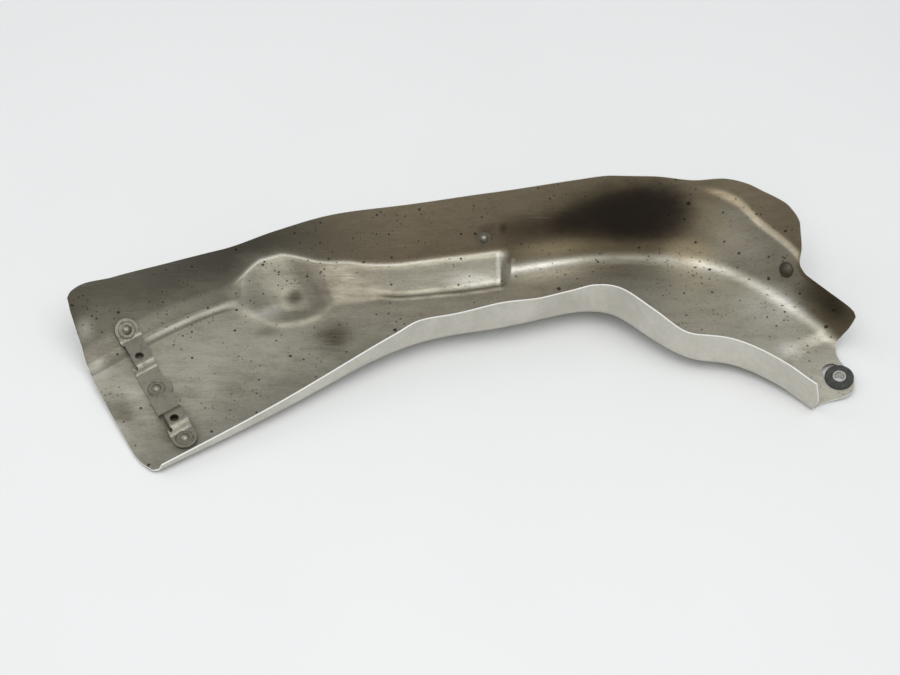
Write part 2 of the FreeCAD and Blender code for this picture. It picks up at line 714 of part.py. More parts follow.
def make_seats(pressing):
    """Frames on the hot face where the other pieces sit."""
    size = pressing.size

    def on_wall(station, alias):
        return pressing.seat(station, pressing.wall_across(station, size[alias]))
    feet = (pressing.foot_1_across(), size["foot_2_rivet"], size["foot_3_rivet"])
    return {"wall": on_wall(WALL_RIVET_STATION, "wall_rivet_height"),
            "end": on_wall(END_RIVET_STATION, "end_rivet_height"),
            "lug": pressing.seat(LUG_STATION, size["lug_across"]),
            "feet": [pressing.seat(STRAP_STATION, across) for across in feet],
            "pads": [pressing.seat(STRAP_STATION, size[name]) for name in ("pad_1_hole", "pad_2_hole")]}


def rivet_drills(doc, name, kind, frames):
    """Cutters for the holes of one kind of rivet."""
    radius = f"Sizes.{kind}_shank / 2 + Sizes.hole_clearance"
    return [make_drill(doc, f"{name}{number}", radius, frame) for number, frame in enumerate(frames, 1)]


def make_panel(doc, blank, seats):
    """The pressing with its rivet holes and the lug's slot."""
    cutters = rivet_drills(doc, "FootRivetHole", "strap_rivet", seats["feet"])
    cutters += rivet_drills(doc, "WallRivetHole", "wall_rivet", [seats["wall"]])
    cutters += rivet_drills(doc, "EndRivetHole", "end_rivet", [seats["end"]])
    return make_cut(doc, "ShieldPanel", blank, cutters + [make_slot(doc, seats["lug"])])


def finish_strap(doc, blank, seats):
    """The strap with its rivet holes and the bolt holes in its two pads."""
    cutters = rivet_drills(doc, "StrapHole", "strap_rivet", seats["feet"])
    cutters += [make_drill(doc, f"PadHole{number}", "Sizes.pad_hole_diameter / 2", frame)
                for number, frame in enumerate(seats["pads"], 1)]
    return make_cut(doc, "FixingStrap", blank, cutters)


def set_rivet(doc, size, name, kind, frame, head, grip):
    """Rivet with the underside of its head at a height over a seat."""
    rivet = make_rivet(doc, size, name, kind, grip)
    rivet.Placement = raised(frame, head - measure(size, add(grip, {"rivet_tail_height": 1})))
    return rivet


def set_strap_rivets(doc, size, frames, strap):
    """The strap's three rivets, each with its head on the strap."""
    grip = {"strap_thickness": 1, "sheet_thickness": 1, "rivet_slack": 1}
    rivets = []
    for number, frame in enumerate(frames, 1):
        head = contact(frame, size["strap_rivet_flange"] / 2, strap.Shape)
        rivets.append(set_rivet(doc, size, f"StrapRivet{number}", "strap_rivet", frame, head, grip))
    group = doc.addObject("Part::Compound", "StrapRivets")
    group.Links = rivets
    return group


def set_wall_rivet(doc, size, frame, sheet):
    """The washer on the far wall and the rivet through it."""
    washer = make_washer(doc, size)
    top = contact(frame, size["washer_diameter"] / 2, sheet.Shape)
    washer.Placement = raised(frame, top)
    grip = {"washer_thickness": 1, "sheet_thickness": 1, "rivet_slack": 1}
    head = top + size["washer_thickness"]
    return washer, set_rivet(doc, size, "WallRivet", "wall_rivet", frame, head, grip)


def set_end_rivet(doc, size, frame, sheet):
    """The large rivet near the notch."""
    grip = {"sheet_thickness": 1, "rivet_slack": 1}
    head = contact(frame, size["end_rivet_flange"] / 2, sheet.Shape)
    return set_rivet(doc, size, "EndRivet", "end_rivet", frame, head, grip)


def set_grommet(doc, size, frame, sheet):
    """The rubber grommet in the lug's slot and the sleeve in its bore."""
    grommet, sleeve = make_grommet(doc, size), make_sleeve(doc, size)
    top = contact(frame, size["grommet_diameter"] / 2, sheet.Shape)
    foot = top - measure(size, {"grommet_under_lip": 1, "sheet_thickness": 1, "grommet_slack": 1})
    grommet.Placement = raised(frame, foot)
    sleeve.Placement = raised(frame, foot - size["sleeve_stand"])
    return grommet, sleeve


def centre(pieces):
    """Move the pieces together until the origin lies under the middle of the whole part."""
    box = FreeCAD.BoundBox()
    for piece in pieces.values():
        box.add(piece.Shape.BoundBox)
    shift = Placement(Vector(-box.Center.x, -box.Center.y, -box.ZMin), Rotation())
    for label, piece in pieces.items():
        piece.Label = label
        piece.Placement = shift.multiply(piece.Placement)


def check(doc, pieces):
    """Stop if a feature failed or a piece has no valid shape."""
    for item in doc.Objects:
        if "Invalid" in item.State or "Error" in item.State:
            raise RuntimeError(f"{item.Name} is {item.State}")
    for label, piece in pieces.items():
        if piece.Shape.isNull() or not piece.Shape.isValid():
            raise RuntimeError(f"{label} has no valid shape")


def main():
    """Build every piece on the pressing, then centre, check and write them."""
    doc = FreeCAD.newDocument("HeatShield")
    pressing = Pressing(fill_sheet(doc))
    size, seats = pressing.size, make_seats(pressing)
    blank = make_pressing(doc, pressing)
    doc.recompute()
    strap_blank = make_strap(doc, pressing, blank)
    washer, wall_rivet = set_wall_rivet(doc, size, seats["wall"], blank)
    grommet, sleeve = set_grommet(doc, size, seats["lug"], blank)
    pieces = {"shield_panel": make_panel(doc, blank, seats),
              "fixing_strap": finish_strap(doc, strap_blank, seats),
              "strap_rivets": set_strap_rivets(doc, size, seats["feet"], strap_blank),
              "wall_rivet": wall_rivet,
              "wall_rivet_washer": washer,
              "end_rivet": set_end_rivet(doc, size, seats["end"], blank),
              "rubber_grommet": grommet,
              "bush_sleeve": sleeve}
    doc.recompute()
    centre(pieces)
    doc.recompute()
    check(doc, pieces)
    os.makedirs("parts", exist_ok=True)
    for label, piece in pieces.items():
        piece.Shape.exportStep(f"parts/{label}.step")


main()
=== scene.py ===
"""Looks of a pressed heat shield: stained sheet, riveted strap, lug and grommet, on a studio floor."""
import json
import logging
import math
from dataclasses import dataclass
from enum import Enum
from typing import Any, Callable

import bpy
import numpy as np
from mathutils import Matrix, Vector


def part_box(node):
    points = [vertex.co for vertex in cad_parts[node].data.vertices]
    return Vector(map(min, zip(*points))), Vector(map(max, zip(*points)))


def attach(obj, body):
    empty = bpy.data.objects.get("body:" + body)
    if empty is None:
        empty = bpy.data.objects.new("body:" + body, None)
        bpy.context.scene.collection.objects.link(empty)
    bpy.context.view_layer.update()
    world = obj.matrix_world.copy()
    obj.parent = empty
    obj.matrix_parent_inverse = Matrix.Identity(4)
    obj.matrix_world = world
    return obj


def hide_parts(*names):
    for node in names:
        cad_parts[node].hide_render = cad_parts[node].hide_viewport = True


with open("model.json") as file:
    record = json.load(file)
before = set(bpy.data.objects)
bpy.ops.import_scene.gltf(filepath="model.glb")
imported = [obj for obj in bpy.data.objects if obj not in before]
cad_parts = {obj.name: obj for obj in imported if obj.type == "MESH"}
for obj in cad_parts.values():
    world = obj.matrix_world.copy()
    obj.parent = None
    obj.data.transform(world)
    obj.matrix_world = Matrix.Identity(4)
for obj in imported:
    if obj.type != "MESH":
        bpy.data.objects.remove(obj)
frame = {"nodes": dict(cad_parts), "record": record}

LOG = logging.getLogger("heat_shield")
MM = 0.001
BODY = "root"
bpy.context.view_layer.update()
# Row of the near rim, scale that gives the floor's sag a peak of 1, largest share of a leg that a bend
# takes, and the stations where the shelf starts, is full, fades and ends.
LAST_ROW = 9
SAG_SCALE = 27 / 4
BEND_SHARE = 0.48
SHELF_SPAN = (1.95, 2.15, 4.12, 4.25)

Colour = tuple[float, float, float]
Point = tuple[float, float, float]
Rail = Callable[[np.ndarray], np.ndarray]


class Side(Enum):
    """Surfaces of the sheet, in the order of its material slots."""

    HOT = 0
    COLD = 1
    EDGE = 2


class Signal:
    """A shader socket that takes part in Python sums."""

    def __init__(self, sheet: "NodeSheet", socket: bpy.types.NodeSocket) -> None:
        """Keep the socket and the sheet that it lies on."""
        self.sheet = sheet
        self.socket = socket

    def _sum(self, operation: str, first: Any, second: Any) -> "Signal":
        """Result of one Math node on two signals or numbers."""
        node = self.sheet.add("ShaderNodeMath", {"operation": operation}, {0: first, 1: second})
        return Signal(self.sheet, node.outputs[0])

    def __add__(self, other: Any) -> "Signal":
        """Sum of two values."""
        return self._sum("ADD", self, other)

    def __radd__(self, other: Any) -> "Signal":
        """Sum of two values."""
        return self._sum("ADD", other, self)

    def __sub__(self, other: Any) -> "Signal":
        """Difference of two values."""
        return self._sum("SUBTRACT", self, other)

    def __rsub__(self, other: Any) -> "Signal":
        """Difference of two values."""
        return self._sum("SUBTRACT", other, self)

    def __mul__(self, other: Any) -> "Signal":
        """Product of two values."""
        return self._sum("MULTIPLY", self, other)

    def __rmul__(self, other: Any) -> "Signal":
        """Product of two values."""
        return self._sum("MULTIPLY", other, self)

    def __pow__(self, other: Any) -> "Signal":
        """Power of a value."""
        return self._sum("POWER", self, other)

    def most(self, other: Any) -> "Signal":
        """Larger of two values."""
        return self._sum("MAXIMUM", self, other)

    def between(self, start: float, full: float, fade: float, end: float) -> "Signal":
        """Smooth window: 0 up to start, 1 from full to fade, and 0 again from end."""
        return self.rise(start, full) * self.rise(end, fade)

    def rise(self, low: float, high: float) -> "Signal":
        """Smooth step from 0 at low to 1 at high. Low may lie above high, and the step then falls."""
        node = self.sheet.add("ShaderNodeMapRange", {"interpolation_type": "SMOOTHSTEP"},
                              {"Value": self, "From Min": low, "From Max": high})
        return Signal(self.sheet, node.outputs[0])


class NodeSheet:
    """Node tree of one material, written as calls and sums."""

    def __init__(self, name: str) -> None:
        """Start a material with nothing but an output."""
        self.material = bpy.data.materials.new(name)
        self.material.use_nodes = True
        self.tree = self.material.node_tree
        self.tree.nodes.clear()

    def add(self, kind: str, settings: dict[str, Any] | None = None,
            sockets: dict[int | str, Any] | None = None) -> bpy.types.Node:
        """Add one node.

        Args:
            kind: Blender's name of the node type.
            settings: attributes that are set first.
            sockets: values or signals by the input's number or name.

        Returns:
            The new node.
        """
        node = self.tree.nodes.new(kind)
        for name, value in (settings or {}).items():
            setattr(node, name, value)
        for name, value in (sockets or {}).items():
            if isinstance(value, Signal):
                self.tree.links.new(value.socket, node.inputs[name])
            else:
                node.inputs[name].default_value = value
        return node

    def vector(self, operation: str, first: Any, second: Any, output: int | str = 0) -> Signal:
        """Result of one Vector Math node on two signals or vectors."""
        node = self.add("ShaderNodeVectorMath", {"operation": operation}, {0: first, 1: second})
        return Signal(self, node.outputs[output])

    def place(self) -> Signal:
        """Place on the part in millimetres."""
        source = Signal(self, self.add("ShaderNodeTexCoord").outputs["Object"])
        node = self.add("ShaderNodeVectorMath", {"operation": "SCALE"}, {0: source, "Scale": 1 / MM})
        return Signal(self, node.outputs[0])

    def unrolled(self, place: Signal, lift: float = 0.6) -> Signal:
        """Place on the sheet as if it were laid flat.

        Args:
            place: place in millimetres.
            lift: share of the height that counts as distance across.

        Returns:
            Distance along the shield and across it.
        """
        along = self.vector("DOT_PRODUCT", place, (1, 0, 0), "Value")
        across = self.vector("DOT_PRODUCT", place, (0, 1, lift), "Value")
        return Signal(self, self.add("ShaderNodeCombineXYZ", None, {"X": along, "Y": across}).outputs[0])

    def carried(self, name: str) -> Signal:
        """Value that the mesh carries at each point."""
        return Signal(self, self.add("ShaderNodeAttribute", {"attribute_name": name}).outputs["Fac"])

    def stretched(self, place: Signal, turn: float, stretch: Point) -> Signal:
        """Place scaled by axis and then turned: streaks run along X, and the turn only moves them."""
        node = self.add("ShaderNodeMapping", {"vector_type": "POINT"},
                        {"Vector": place, "Rotation": (0, 0, math.radians(turn)), "Scale": stretch})
        return Signal(self, node.outputs[0])

    def noise(self, place: Signal, grain: float, detail: float = 2.0, rough: float = 0.5) -> Signal:
        """Soft noise round 0.5: patches of a size in millimetres, with finer layers of a number and weight."""
        node = self.add("ShaderNodeTexNoise", {"noise_dimensions": "3D"},
                        {"Vector": place, "Scale": 1 / grain, "Detail": detail, "Roughness": rough})
        return Signal(self, node.outputs[0])

    def specks(self, place: Signal, spacing: float, size: float) -> Signal:
        """Round specks of uneven size, one at most in each cell.

        Args:
            place: place on the sheet laid flat, in millimetres.
            spacing: size of the cells in millimetres.
            size: radius of the largest specks as a share of a cell.

        Returns:
            A value from 0 to 1 in the specks.
        """
        node = self.add("ShaderNodeTexVoronoi", {"feature": "F1", "voronoi_dimensions": "2D"},
                        {"Vector": place, "Scale": 1 / spacing})
        distance = Signal(self, node.outputs["Distance"])
        parts = self.add("ShaderNodeSeparateColor", None, {0: Signal(self, node.outputs["Color"])})
        reach = Signal(self, parts.outputs[0]) ** 5 * size
        return (reach - distance).rise(0, 0.35 * size)

    def near(self, place: Signal, centre: Point, reach: Point) -> Signal:
        """Round patch by its half sizes: 1 in its middle, fading to 0 at its edge."""
        scaled = self.vector("DIVIDE", self.vector("SUBTRACT", place, centre), reach)
        return self.vector("LENGTH", scaled, (0, 0, 0), "Value").rise(1, 0)

    def patches(self, place: Signal, spots: tuple["Spot", ...]) -> Signal:
        """Several round patches together.

        Args:
            place: place in millimetres.
            spots: the patches.

        Returns:
            Their smooth union, from 0 to 1.
        """
        left = None
        for spot in spots:
            rest = 1 - self.near(place, spot.centre, spot.reach) * spot.strength
            left = rest if left is None else left * rest
        return 1 - left

    def mix(self, share: Any, low: Any, high: Any) -> Signal:
        """Mix of two colours.

        Args:
            share: 0 for the first and 1 for the second.
            low: first colour.
            high: second colour.

        Returns:
            The mixed colour.
        """
        ends = [colour if isinstance(colour, Signal) else (*colour, 1) for colour in (low, high)]
        node = self.add("ShaderNodeMix", {"data_type": "RGBA"}, {0: share, 6: ends[0], 7: ends[1]})
        return Signal(self, node.outputs[2])

    def bump(self, height: Signal, depth: float) -> Signal:
        """Normal with a small relief: a height from 0 to 1, and its depth in millimetres."""
        node = self.add("ShaderNodeBump", None, {"Strength": 1.0, "Distance": depth * MM, "Height": height})
        return Signal(self, node.outputs[0])

    def surface(self, **sockets: Any) -> bpy.types.Material:
        """Close the sheet with a shader.

        Args:
            **sockets: values of the shader's sockets, with underscores for spaces.

        Returns:
            The finished material.
        """
        named = {name.replace("_", " "): value for name, value in sockets.items()}
        shader = self.add("ShaderNodeBsdfPrincipled", None, named)
        self.add("ShaderNodeOutputMaterial", None, {"Surface": Signal(self, shader.outputs[0])})
        return self.material


@dataclass(frozen=True)
class Spot:
    """Soft patch on the sheet, in millimetres."""

    centre: Point
    reach: Point
    strength: float = 1.0


@dataclass(frozen=True)
class StainedSteel:
    """Hot face: grey steel under a heat film, with soot, straw bands, scuffs and black specks, and painted
    highlights and shade.
    """

    steel: Colour = (0.47, 0.45, 0.37)
    # Pale colour of the painted highlights, and of the real scratches.
    pale: Colour = (0.74, 0.72, 0.65)
    dark_film: Colour = (0.08, 0.076, 0.059)
    grey_film: Colour = (0.27, 0.257, 0.205)
    brown_film: Colour = (0.27, 0.222, 0.148)
    burnt_and_shade: Colour = (0.085, 0.064, 0.04)
    straw: Colour = (0.62, 0.535, 0.36)
    soot: Colour = (0.037, 0.0285, 0.021)
    roughness: float = 0.52
    relief: float = 0.06
    strap_inset: float = 8.0
    strap_halo_reach: Point = (19.0, 19.0, 14.0)
    soot_spots: tuple[Spot, ...] = (
        Spot((118, 88, 35), (54, 50, 34), 1.0),
        Spot((128, 88, 37), (36, 40, 26), 0.6),
        Spot((94, 87, 33), (48, 50, 22), 0.9),
        Spot((66, 83, 28), (48, 50, 14), 0.6),
        Spot((112, 84, 23), (46, 40, 17), 0.7),
        Spot((236, 12, 26), (28, 26, 20), 0.78),
        # Dark blotch at the boss's right side.
        Spot((-107, 28, 17), (11, 13, 10), 0.62),
    )
    # Scorch stains round the soot, and painted shade: in the dent at the left end, under the boss's highlight
    # and round the washer.
    burnt_and_shade_spots: tuple[Spot, ...] = (
        Spot((104, 88, 32), (66, 60, 42), 0.9),
        Spot((64, 80, 26), (66, 50, 20), 0.7),
        Spot((36, 80, 28), (30, 40, 15), 0.45),
        Spot((228, 22, 26), (36, 34, 26), 0.8),
        Spot((-81, 7, 5), (19, 24, 12), 0.7),
        # Dark blotch at the boss's right side.
        Spot((-105, 27, 17), (13, 17, 12), 0.5),
        Spot((-124, 10, 8), (17, 9, 8), 0.7),
        Spot((-208, -52, 3), (15, 18, 10), 0.5),
        Spot((114, 77, 5), (30, 16, 9), 0.3),
        Spot((27, 79, 28), (4, 5, 5), 0.9),
        Spot((15, 76, 27), (11, 12, 11), 0.5),
    )
    straw_spots: tuple[Spot, ...] = (
        Spot((62, 77, 13), (50, 24, 13), 0.8),
        Spot((110, 80, 12), (46, 24, 11), 0.4),
        Spot((150, 74, 11), (30, 28, 14), 1.0),
        Spot((168, 74, 26), (50, 38, 24), 0.5),
        Spot((154, 86, 40), (30, 30, 20), 0.35),
    )
    # Dull film patches, and painted shade along the near rim at the left and in the dent at the left end.
    dull_and_shade_spots: tuple[Spot, ...] = (
        Spot((-82, 5, 6), (46, 40, 20), 0.8),
        Spot((-98, -32, 5), (80, 26, 14), 0.8),
        Spot((-30, 22, 9), (60, 16, 14), 0.5),
        Spot((-214, -48, 3), (20, 20, 12), 0.9),
        Spot((-180, -82, 3), (44, 18, 12), 0.8),
        Spot((100, 62, 8), (50, 20, 10), 0.5),
    )
    dust_spots: tuple[Spot, ...] = (
        Spot((152, 62, 6), (40, 30, 16), 1.0),
        Spot((-60, 66, 24), (80, 34, 20), 0.8),
        Spot((60, 70, 6), (40, 20, 12), 0.8),
        Spot((140, 20, 8), (34, 20, 10), 0.7),
    )
    # Painted highlights: pale patches where light catches the valley, the boss, the shelf, the lug's step and
    # the waves of the left end.
    painted_highlight_spots: tuple[Spot, ...] = (
        Spot((8, 50, 11), (28, 10, 9), 0.9),
        Spot((240, -30, 4), (30, 34, 20), 0.3),
        Spot((206, -5, 6.5), (13, 11, 9), 0.9),
        Spot((-126, 21, 11), (18, 8, 8), 1.0),
        Spot((54, 64, 4), (42, 18, 12), 1.0),
        Spot((205, 34, 9), (40, 30, 12), 1.0),
        Spot((154, 70, 8), (36, 22, 12), 0.9),
        Spot((176, 62, 22), (36, 28, 18), 0.5),
        Spot((-236, -2, 22), (10, 14, 12), 0.5),
        Spot((-228, -22, 7), (12, 16, 10), 0.5),
        Spot((-212, -64, 3), (10, 8, 8), 0.5),
    )

    def shade_and_dirt_by_strap(self) -> tuple[Spot, ...]:
        """Dirt and painted contact shade beside the strap, along its whole length."""
        low, high = (np.array(corner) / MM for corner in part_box("fixing_strap"))
        inset = self.strap_inset
        start = np.array([low[0] + inset, high[1] - inset, high[2] - 4])
        end = np.array([high[0] - inset, low[1] + inset, low[2] + 1])
        middles = [mix(start, end, share) for share in np.linspace(0, 1, 8)]
        return tuple(Spot(tuple(middle), self.strap_halo_reach, 0.75) for middle in middles)

    def material(self) -> bpy.types.Material:
        """Node material of the hot face."""
        sheet = NodeSheet("stained_steel")
        place, row, station = sheet.place(), sheet.carried("row"), sheet.carried("station")
        flat = sheet.unrolled(place)
        cloud = (sheet.noise(place, 30, 3, 0.55) - 0.5) * 1.6
        mottle = (sheet.noise(sheet.stretched(flat, -20, (0.35, 1, 1)), 6, 4, 0.65) - 0.5) * 1.8
        grain = (sheet.noise(sheet.stretched(flat, -20, (0.5, 1, 1)), 1.2, 3, 0.7) - 0.5) * 2
        shelf = station.between(*SHELF_SPAN)
        colour = self.filmed(sheet, place, row, station, cloud + mottle)
        straw = (sheet.patches(place, self.straw_spots) + cloud * 0.3 + mottle * 0.2).rise(0.1, 1)
        colour = sheet.mix(straw * 0.8, colour, self.straw)
        # Scorch stains, with painted shade in the dent, at the boss, round the washer and beside the strap.
        burnt_and_shade = sheet.patches(place, self.burnt_and_shade_spots + self.shade_and_dirt_by_strap())
        burnt_and_shade = (burnt_and_shade + cloud * 0.2 + mottle * 0.15).rise(0.05, 1)
        # Painted shade: the shelf's riser and foot darkened with the dark scorch colour.
        painted_riser_shade = shelf * row.between(3.7, 4.3, 5.3, 6.2) * station.between(2.9, 3.3, 4.1, 4.25)
        colour = sheet.mix(burnt_and_shade.most(painted_riser_shade * (0.55 + mottle * 0.4)) * 0.9, colour, self.burnt_and_shade)
        # Painted highlights along the folds, in pale colour; they also lower roughness and metalness there.
        painted_fold_highlights = self.painted_fold_highlights(row, station) * (0.42 + mottle * 0.8 + cloud * 0.5)
        colour = sheet.mix(painted_fold_highlights, colour, self.pale)
        colour = sheet.mix((grain * 0.8 + mottle + cloud * 0.5).rise(-0.5, 0.9) * 0.42, colour, self.burnt_and_shade)
        soot = (sheet.patches(place, self.soot_spots) + cloud * 0.14 + mottle * 0.1).rise(0.08, 1.0)
        colour = sheet.mix(soot * 0.97, colour, self.soot)
        specks = self.spatter(sheet, place, flat)
        colour = sheet.mix(specks * 0.85, colour, self.soot)
        colour = sheet.mix(self.scuffs(sheet, flat) * (0.6 - 0.6 * soot), colour, self.pale)
        hazed = row.between(2.4, 3.1, 4.0, 4.6) * station.between(4.8, 5.5, 6.4, 7.0)
        rough = self.roughness + 0.2 * soot + 0.1 * straw + 0.22 * hazed
        rough = rough + mottle * 0.1 + specks * 0.15 - painted_fold_highlights * 0.1
        return sheet.surface(Base_Color=colour, Metallic=1 - soot * 0.1 - painted_fold_highlights * 0.35,
                             Roughness=rough, Normal=sheet.bump(grain * 0.5 + mottle, self.relief))

    def filmed(self, sheet: NodeSheet, place: Signal, row: Signal, station: Signal, uneven: Signal) -> Signal:
        """Steel under its heat film, which is thick on the wall and thin on the floor, with painted highlights
        and painted shade.

        Args:
            sheet: the material's nodes.
            place: place in millimetres.
            row: row round the section.
            station: station along the shield.
            uneven: noise round 0.

        Returns:
            The colour.
        """
        shelf = station.between(*SHELF_SPAN)
        left = station.rise(3.5, 2.2).most(shelf * row.rise(1.3, 1.8) * 0.7)
        right = station.between(6.6, 7.3, 8.4, 9.1) * row.rise(0.35, 0.6)
        on_wall = (row + shelf * 1.8 + uneven * 0.2).rise(3.6, 2.9)
        bench = shelf * row.between(1.4, 1.7, 5.5, 6.3) * (0.45 + 0.45 * station.rise(3.5, 3.0))
        crease = (row + uneven * 0.2).between(2.6, 3.4, 3.6, 4.6) * station.rise(2.2, 1.8)
        # Painted shade: more of the dark film towards the near rim at the left, where the floor bends up into
        # the flange.
        near_rim = (row + uneven * 0.3).rise(6.2, 7.0) * station.rise(3.6, 2.6) * 0.65
        # Dull film, with painted shade at the near rim and in the dent.
        dull = (sheet.patches(place, self.dull_and_shade_spots) + uneven * 0.25).rise(0.05, 1) * 0.8
        film = sheet.mix((row + uneven * 0.6).rise(0.4, 1.6) - crease * 0.5, self.dark_film, self.grey_film)
        film = sheet.mix(left, self.brown_film, film)
        # Painted highlights: the pale patches lighten the steel and thin the film over them.
        pale = sheet.patches(place, self.painted_highlight_spots)
        steel_and_painted_highlights = sheet.mix(pale, self.steel, self.pale)
        share = (on_wall * (0.95 - 0.55 * right)).most(dull).most(bench + uneven * 0.1)
        share = share.most(crease).most(near_rim)
        return sheet.mix(share * (1 - 0.8 * pale), steel_and_painted_highlights, film)

    @staticmethod
    def painted_fold_highlights(row: Signal, station: Signal) -> Signal:
        """Painted highlights: bright lines along the pressing's folds, at the shelf's top and end, and the
        valley at the left.

        Args:
            row: row round the section.
            station: station along the shield.

        Returns:
            A value from 0 to 1 on the lines.
        """
        top = row.between(1.25, 1.4, 1.45, 1.6) * station.between(1.98, 2.12, 4.08, 4.13)
        end = station.between(4.07, 4.1, 4.11, 4.14) * row.between(1.2, 1.5, 3.6, 4.4)
        foot = station.between(4.23, 4.25, 4.26, 4.3) * row.between(2.0, 2.8, 4.2, 5.0) * 0.8
        crease = row.between(3.2, 3.45, 3.6, 3.9) * station.between(0.95, 1.2, 1.8, 1.98) * 0.7
        face = station.between(4.12, 4.15, 4.19, 4.23) * row.between(1.2, 1.8, 4.0, 5.0) * 0.6
        return top.most(end).most(foot).most(crease).most(face)

    def spatter(self, sheet: NodeSheet, place: Signal, flat: Signal) -> Signal:
        """Black specks: large, middling and fine ones, the fine ones thicker in places.

        Args:
            sheet: the material's nodes.
            place: place in millimetres.
            flat: place on the sheet laid flat, in millimetres.

        Returns:
            A value from 0 to 1 in the specks.
        """
        where = sheet.noise(flat, 38, 2).rise(0.42, 0.66).most(sheet.patches(place, self.dust_spots))
        fine = sheet.specks(flat, 2.6, 0.4) * where
        return sheet.specks(flat, 21, 0.085).most(sheet.specks(flat, 9, 0.14)).most(fine * 0.9)

    @staticmethod
    def scuffs(sheet: NodeSheet, flat: Signal) -> Signal:
        """Thin light scratches along the shield in two layers, only in places.

        Args:
            sheet: the material's nodes.
            flat: place on the sheet laid flat, in millimetres.

        Returns:
            A value from 0 to 1 in the scratches.
        """
        where = sheet.noise(flat, 34, 2).rise(0.52, 0.7)
        along = sheet.noise(sheet.stretched(flat, -22, (0.04, 0.9, 1)), 1.2, 2).rise(0.58, 0.74)
        over = sheet.noise(sheet.stretched(flat, 35, (0.05, 1.2, 1)), 1.0, 2).rise(0.6, 0.76)
        return along.most(over) * where * 0.35


@dataclass(frozen=True)
class CleanSteel:
    """Cold face: pale rolled sheet with faint rolling streaks."""

    steel: Colour = (0.64, 0.615, 0.55)
    dull: Colour = (0.52, 0.50, 0.44)

    def material(self) -> bpy.types.Material:
        """Node material of the cold face."""
        sheet = NodeSheet("clean_steel")
        place = sheet.place()
        cloud = sheet.noise(place, 30, 3, 0.6)
        fine = sheet.noise(place, 3, 3, 0.6)
        colour = sheet.mix((cloud + fine * 0.4).rise(0.45, 0.95), self.steel, self.dull)
        rough = 0.42 + (fine - 0.5) * 0.2
        return sheet.surface(Base_Color=colour, Metallic=0.9, Roughness=rough,
                             Normal=sheet.bump(sheet.noise(place, 0.8, 2), 0.03))


@dataclass(frozen=True)
class PlainMetal:
    """Small metal pieces: a base colour with darker patches, grain and grime."""

    name: str
    steel: Colour
    grime: Colour
    patch: float = 6.0
    grimy: float = 0.5
    roughness: float = 0.4
    metal: float = 1.0

    def material(self) -> bpy.types.Material:
        """Node material of the piece."""
        sheet = NodeSheet(self.name)
        place = sheet.place()
        cloud = sheet.noise(place, self.patch, 4, 0.65)
        grain = sheet.noise(place, 0.5, 3, 0.6)
        grime = (cloud + (grain - 0.5) * 0.3).rise(0.75 - 0.5 * self.grimy, 1.0 - 0.4 * self.grimy)
        colour = sheet.mix(grime, self.steel, self.grime)
        rough = self.roughness + 0.25 * grime + (grain - 0.5) * 0.1
        return sheet.surface(Base_Color=colour, Metallic=self.metal * (1 - 0.4 * grime), Roughness=rough,
                             Normal=sheet.bump(grain, 0.03))


@dataclass(frozen=True)
class StrapSteel:
    """Strap: stained steel with pressed rings round its rivets. The seats are in millimetres."""

    seats: tuple[Point, ...]
    steel: Colour = (0.31, 0.295, 0.24)
    grime: Colour = (0.085, 0.077, 0.058)
    ring_radius: float = 5.4

    def material(self) -> bpy.types.Material:
        """Node material of the strap."""
        sheet = NodeSheet("strap_steel")
        place = sheet.place()
        cloud = (sheet.noise(place, 5, 4, 0.65) - 0.5) * 1.8
        grain = (sheet.noise(place, 0.7, 3, 0.65) - 0.5) * 2
        rings = self.rings(sheet, place)
        # The rings also darken the colour: painted shade in the grooves.
        grime = (cloud + grain * 0.4 + rings * 0.5).rise(-0.2, 0.8)
        colour = sheet.mix(grime, self.steel, self.grime)
        rough = 0.44 + 0.12 * grime + grain * 0.06
        return sheet.surface(Base_Color=colour, Metallic=1 - 0.2 * grime, Roughness=rough,
                             Normal=sheet.bump(grain * 0.1 - rings, 0.15))

    def rings(self, sheet: NodeSheet, place: Signal) -> Signal:
        """Round grooves.

        Args:
            sheet: the material's nodes.
            place: place in millimetres.

        Returns:
            A value from 0 to 1 in the grooves.
        """
        total, radius = None, self.ring_radius
        for seat in self.seats:
            away = sheet.vector("DISTANCE", place, seat, "Value")
            ring = away.between(radius - 0.45, radius - 0.1, radius + 0.1, radius + 0.45)
            total = ring if total is None else total.most(ring)
        return total


@dataclass(frozen=True)
class Rubber:
    """Grommet: dusty dark rubber."""

    dark: Colour = (0.03, 0.032, 0.028)
    dusty: Colour = (0.075, 0.077, 0.068)

    def material(self) -> bpy.types.Material:
        """Node material of the rubber."""
        sheet = NodeSheet("grommet_rubber")
        place = sheet.place()
        dust = sheet.noise(place, 3, 4, 0.65)
        colour = sheet.mix(dust.rise(0.4, 0.75), self.dark, self.dusty)
        return sheet.surface(Base_Color=colour, Roughness=0.6 + 0.2 * dust,
                             Normal=sheet.bump(sheet.noise(place, 0.6, 3), 0.06))


@dataclass(frozen=True)
class FloorPaper:
    """Studio floor: pale smooth paper."""

    paper: Colour = (0.825, 0.835, 0.825)

    def material(self) -> bpy.types.Material:
        """Node material of the floor."""
        sheet = NodeSheet("floor_paper")
        place = sheet.place()
        tone = sheet.noise(place, 180, 2)
        colour = sheet.mix(tone.rise(0.3, 0.7), self.paper, tuple(0.985 * part for part in self.paper))
        return sheet.surface(Base_Color=colour, Roughness=0.75)


def ease(share: np.ndarray) -> np.ndarray:
    """Smooth step from 0 to 1 with level ends."""
    share = np.clip(share, 0, 1)
    return share ** 3 * (10 - 15 * share + 6 * share ** 2)


def mix(start: Any, end: Any, share: Any) -> Any:
    """Value at a share of the way from start to end."""
    return start + (end - start) * share


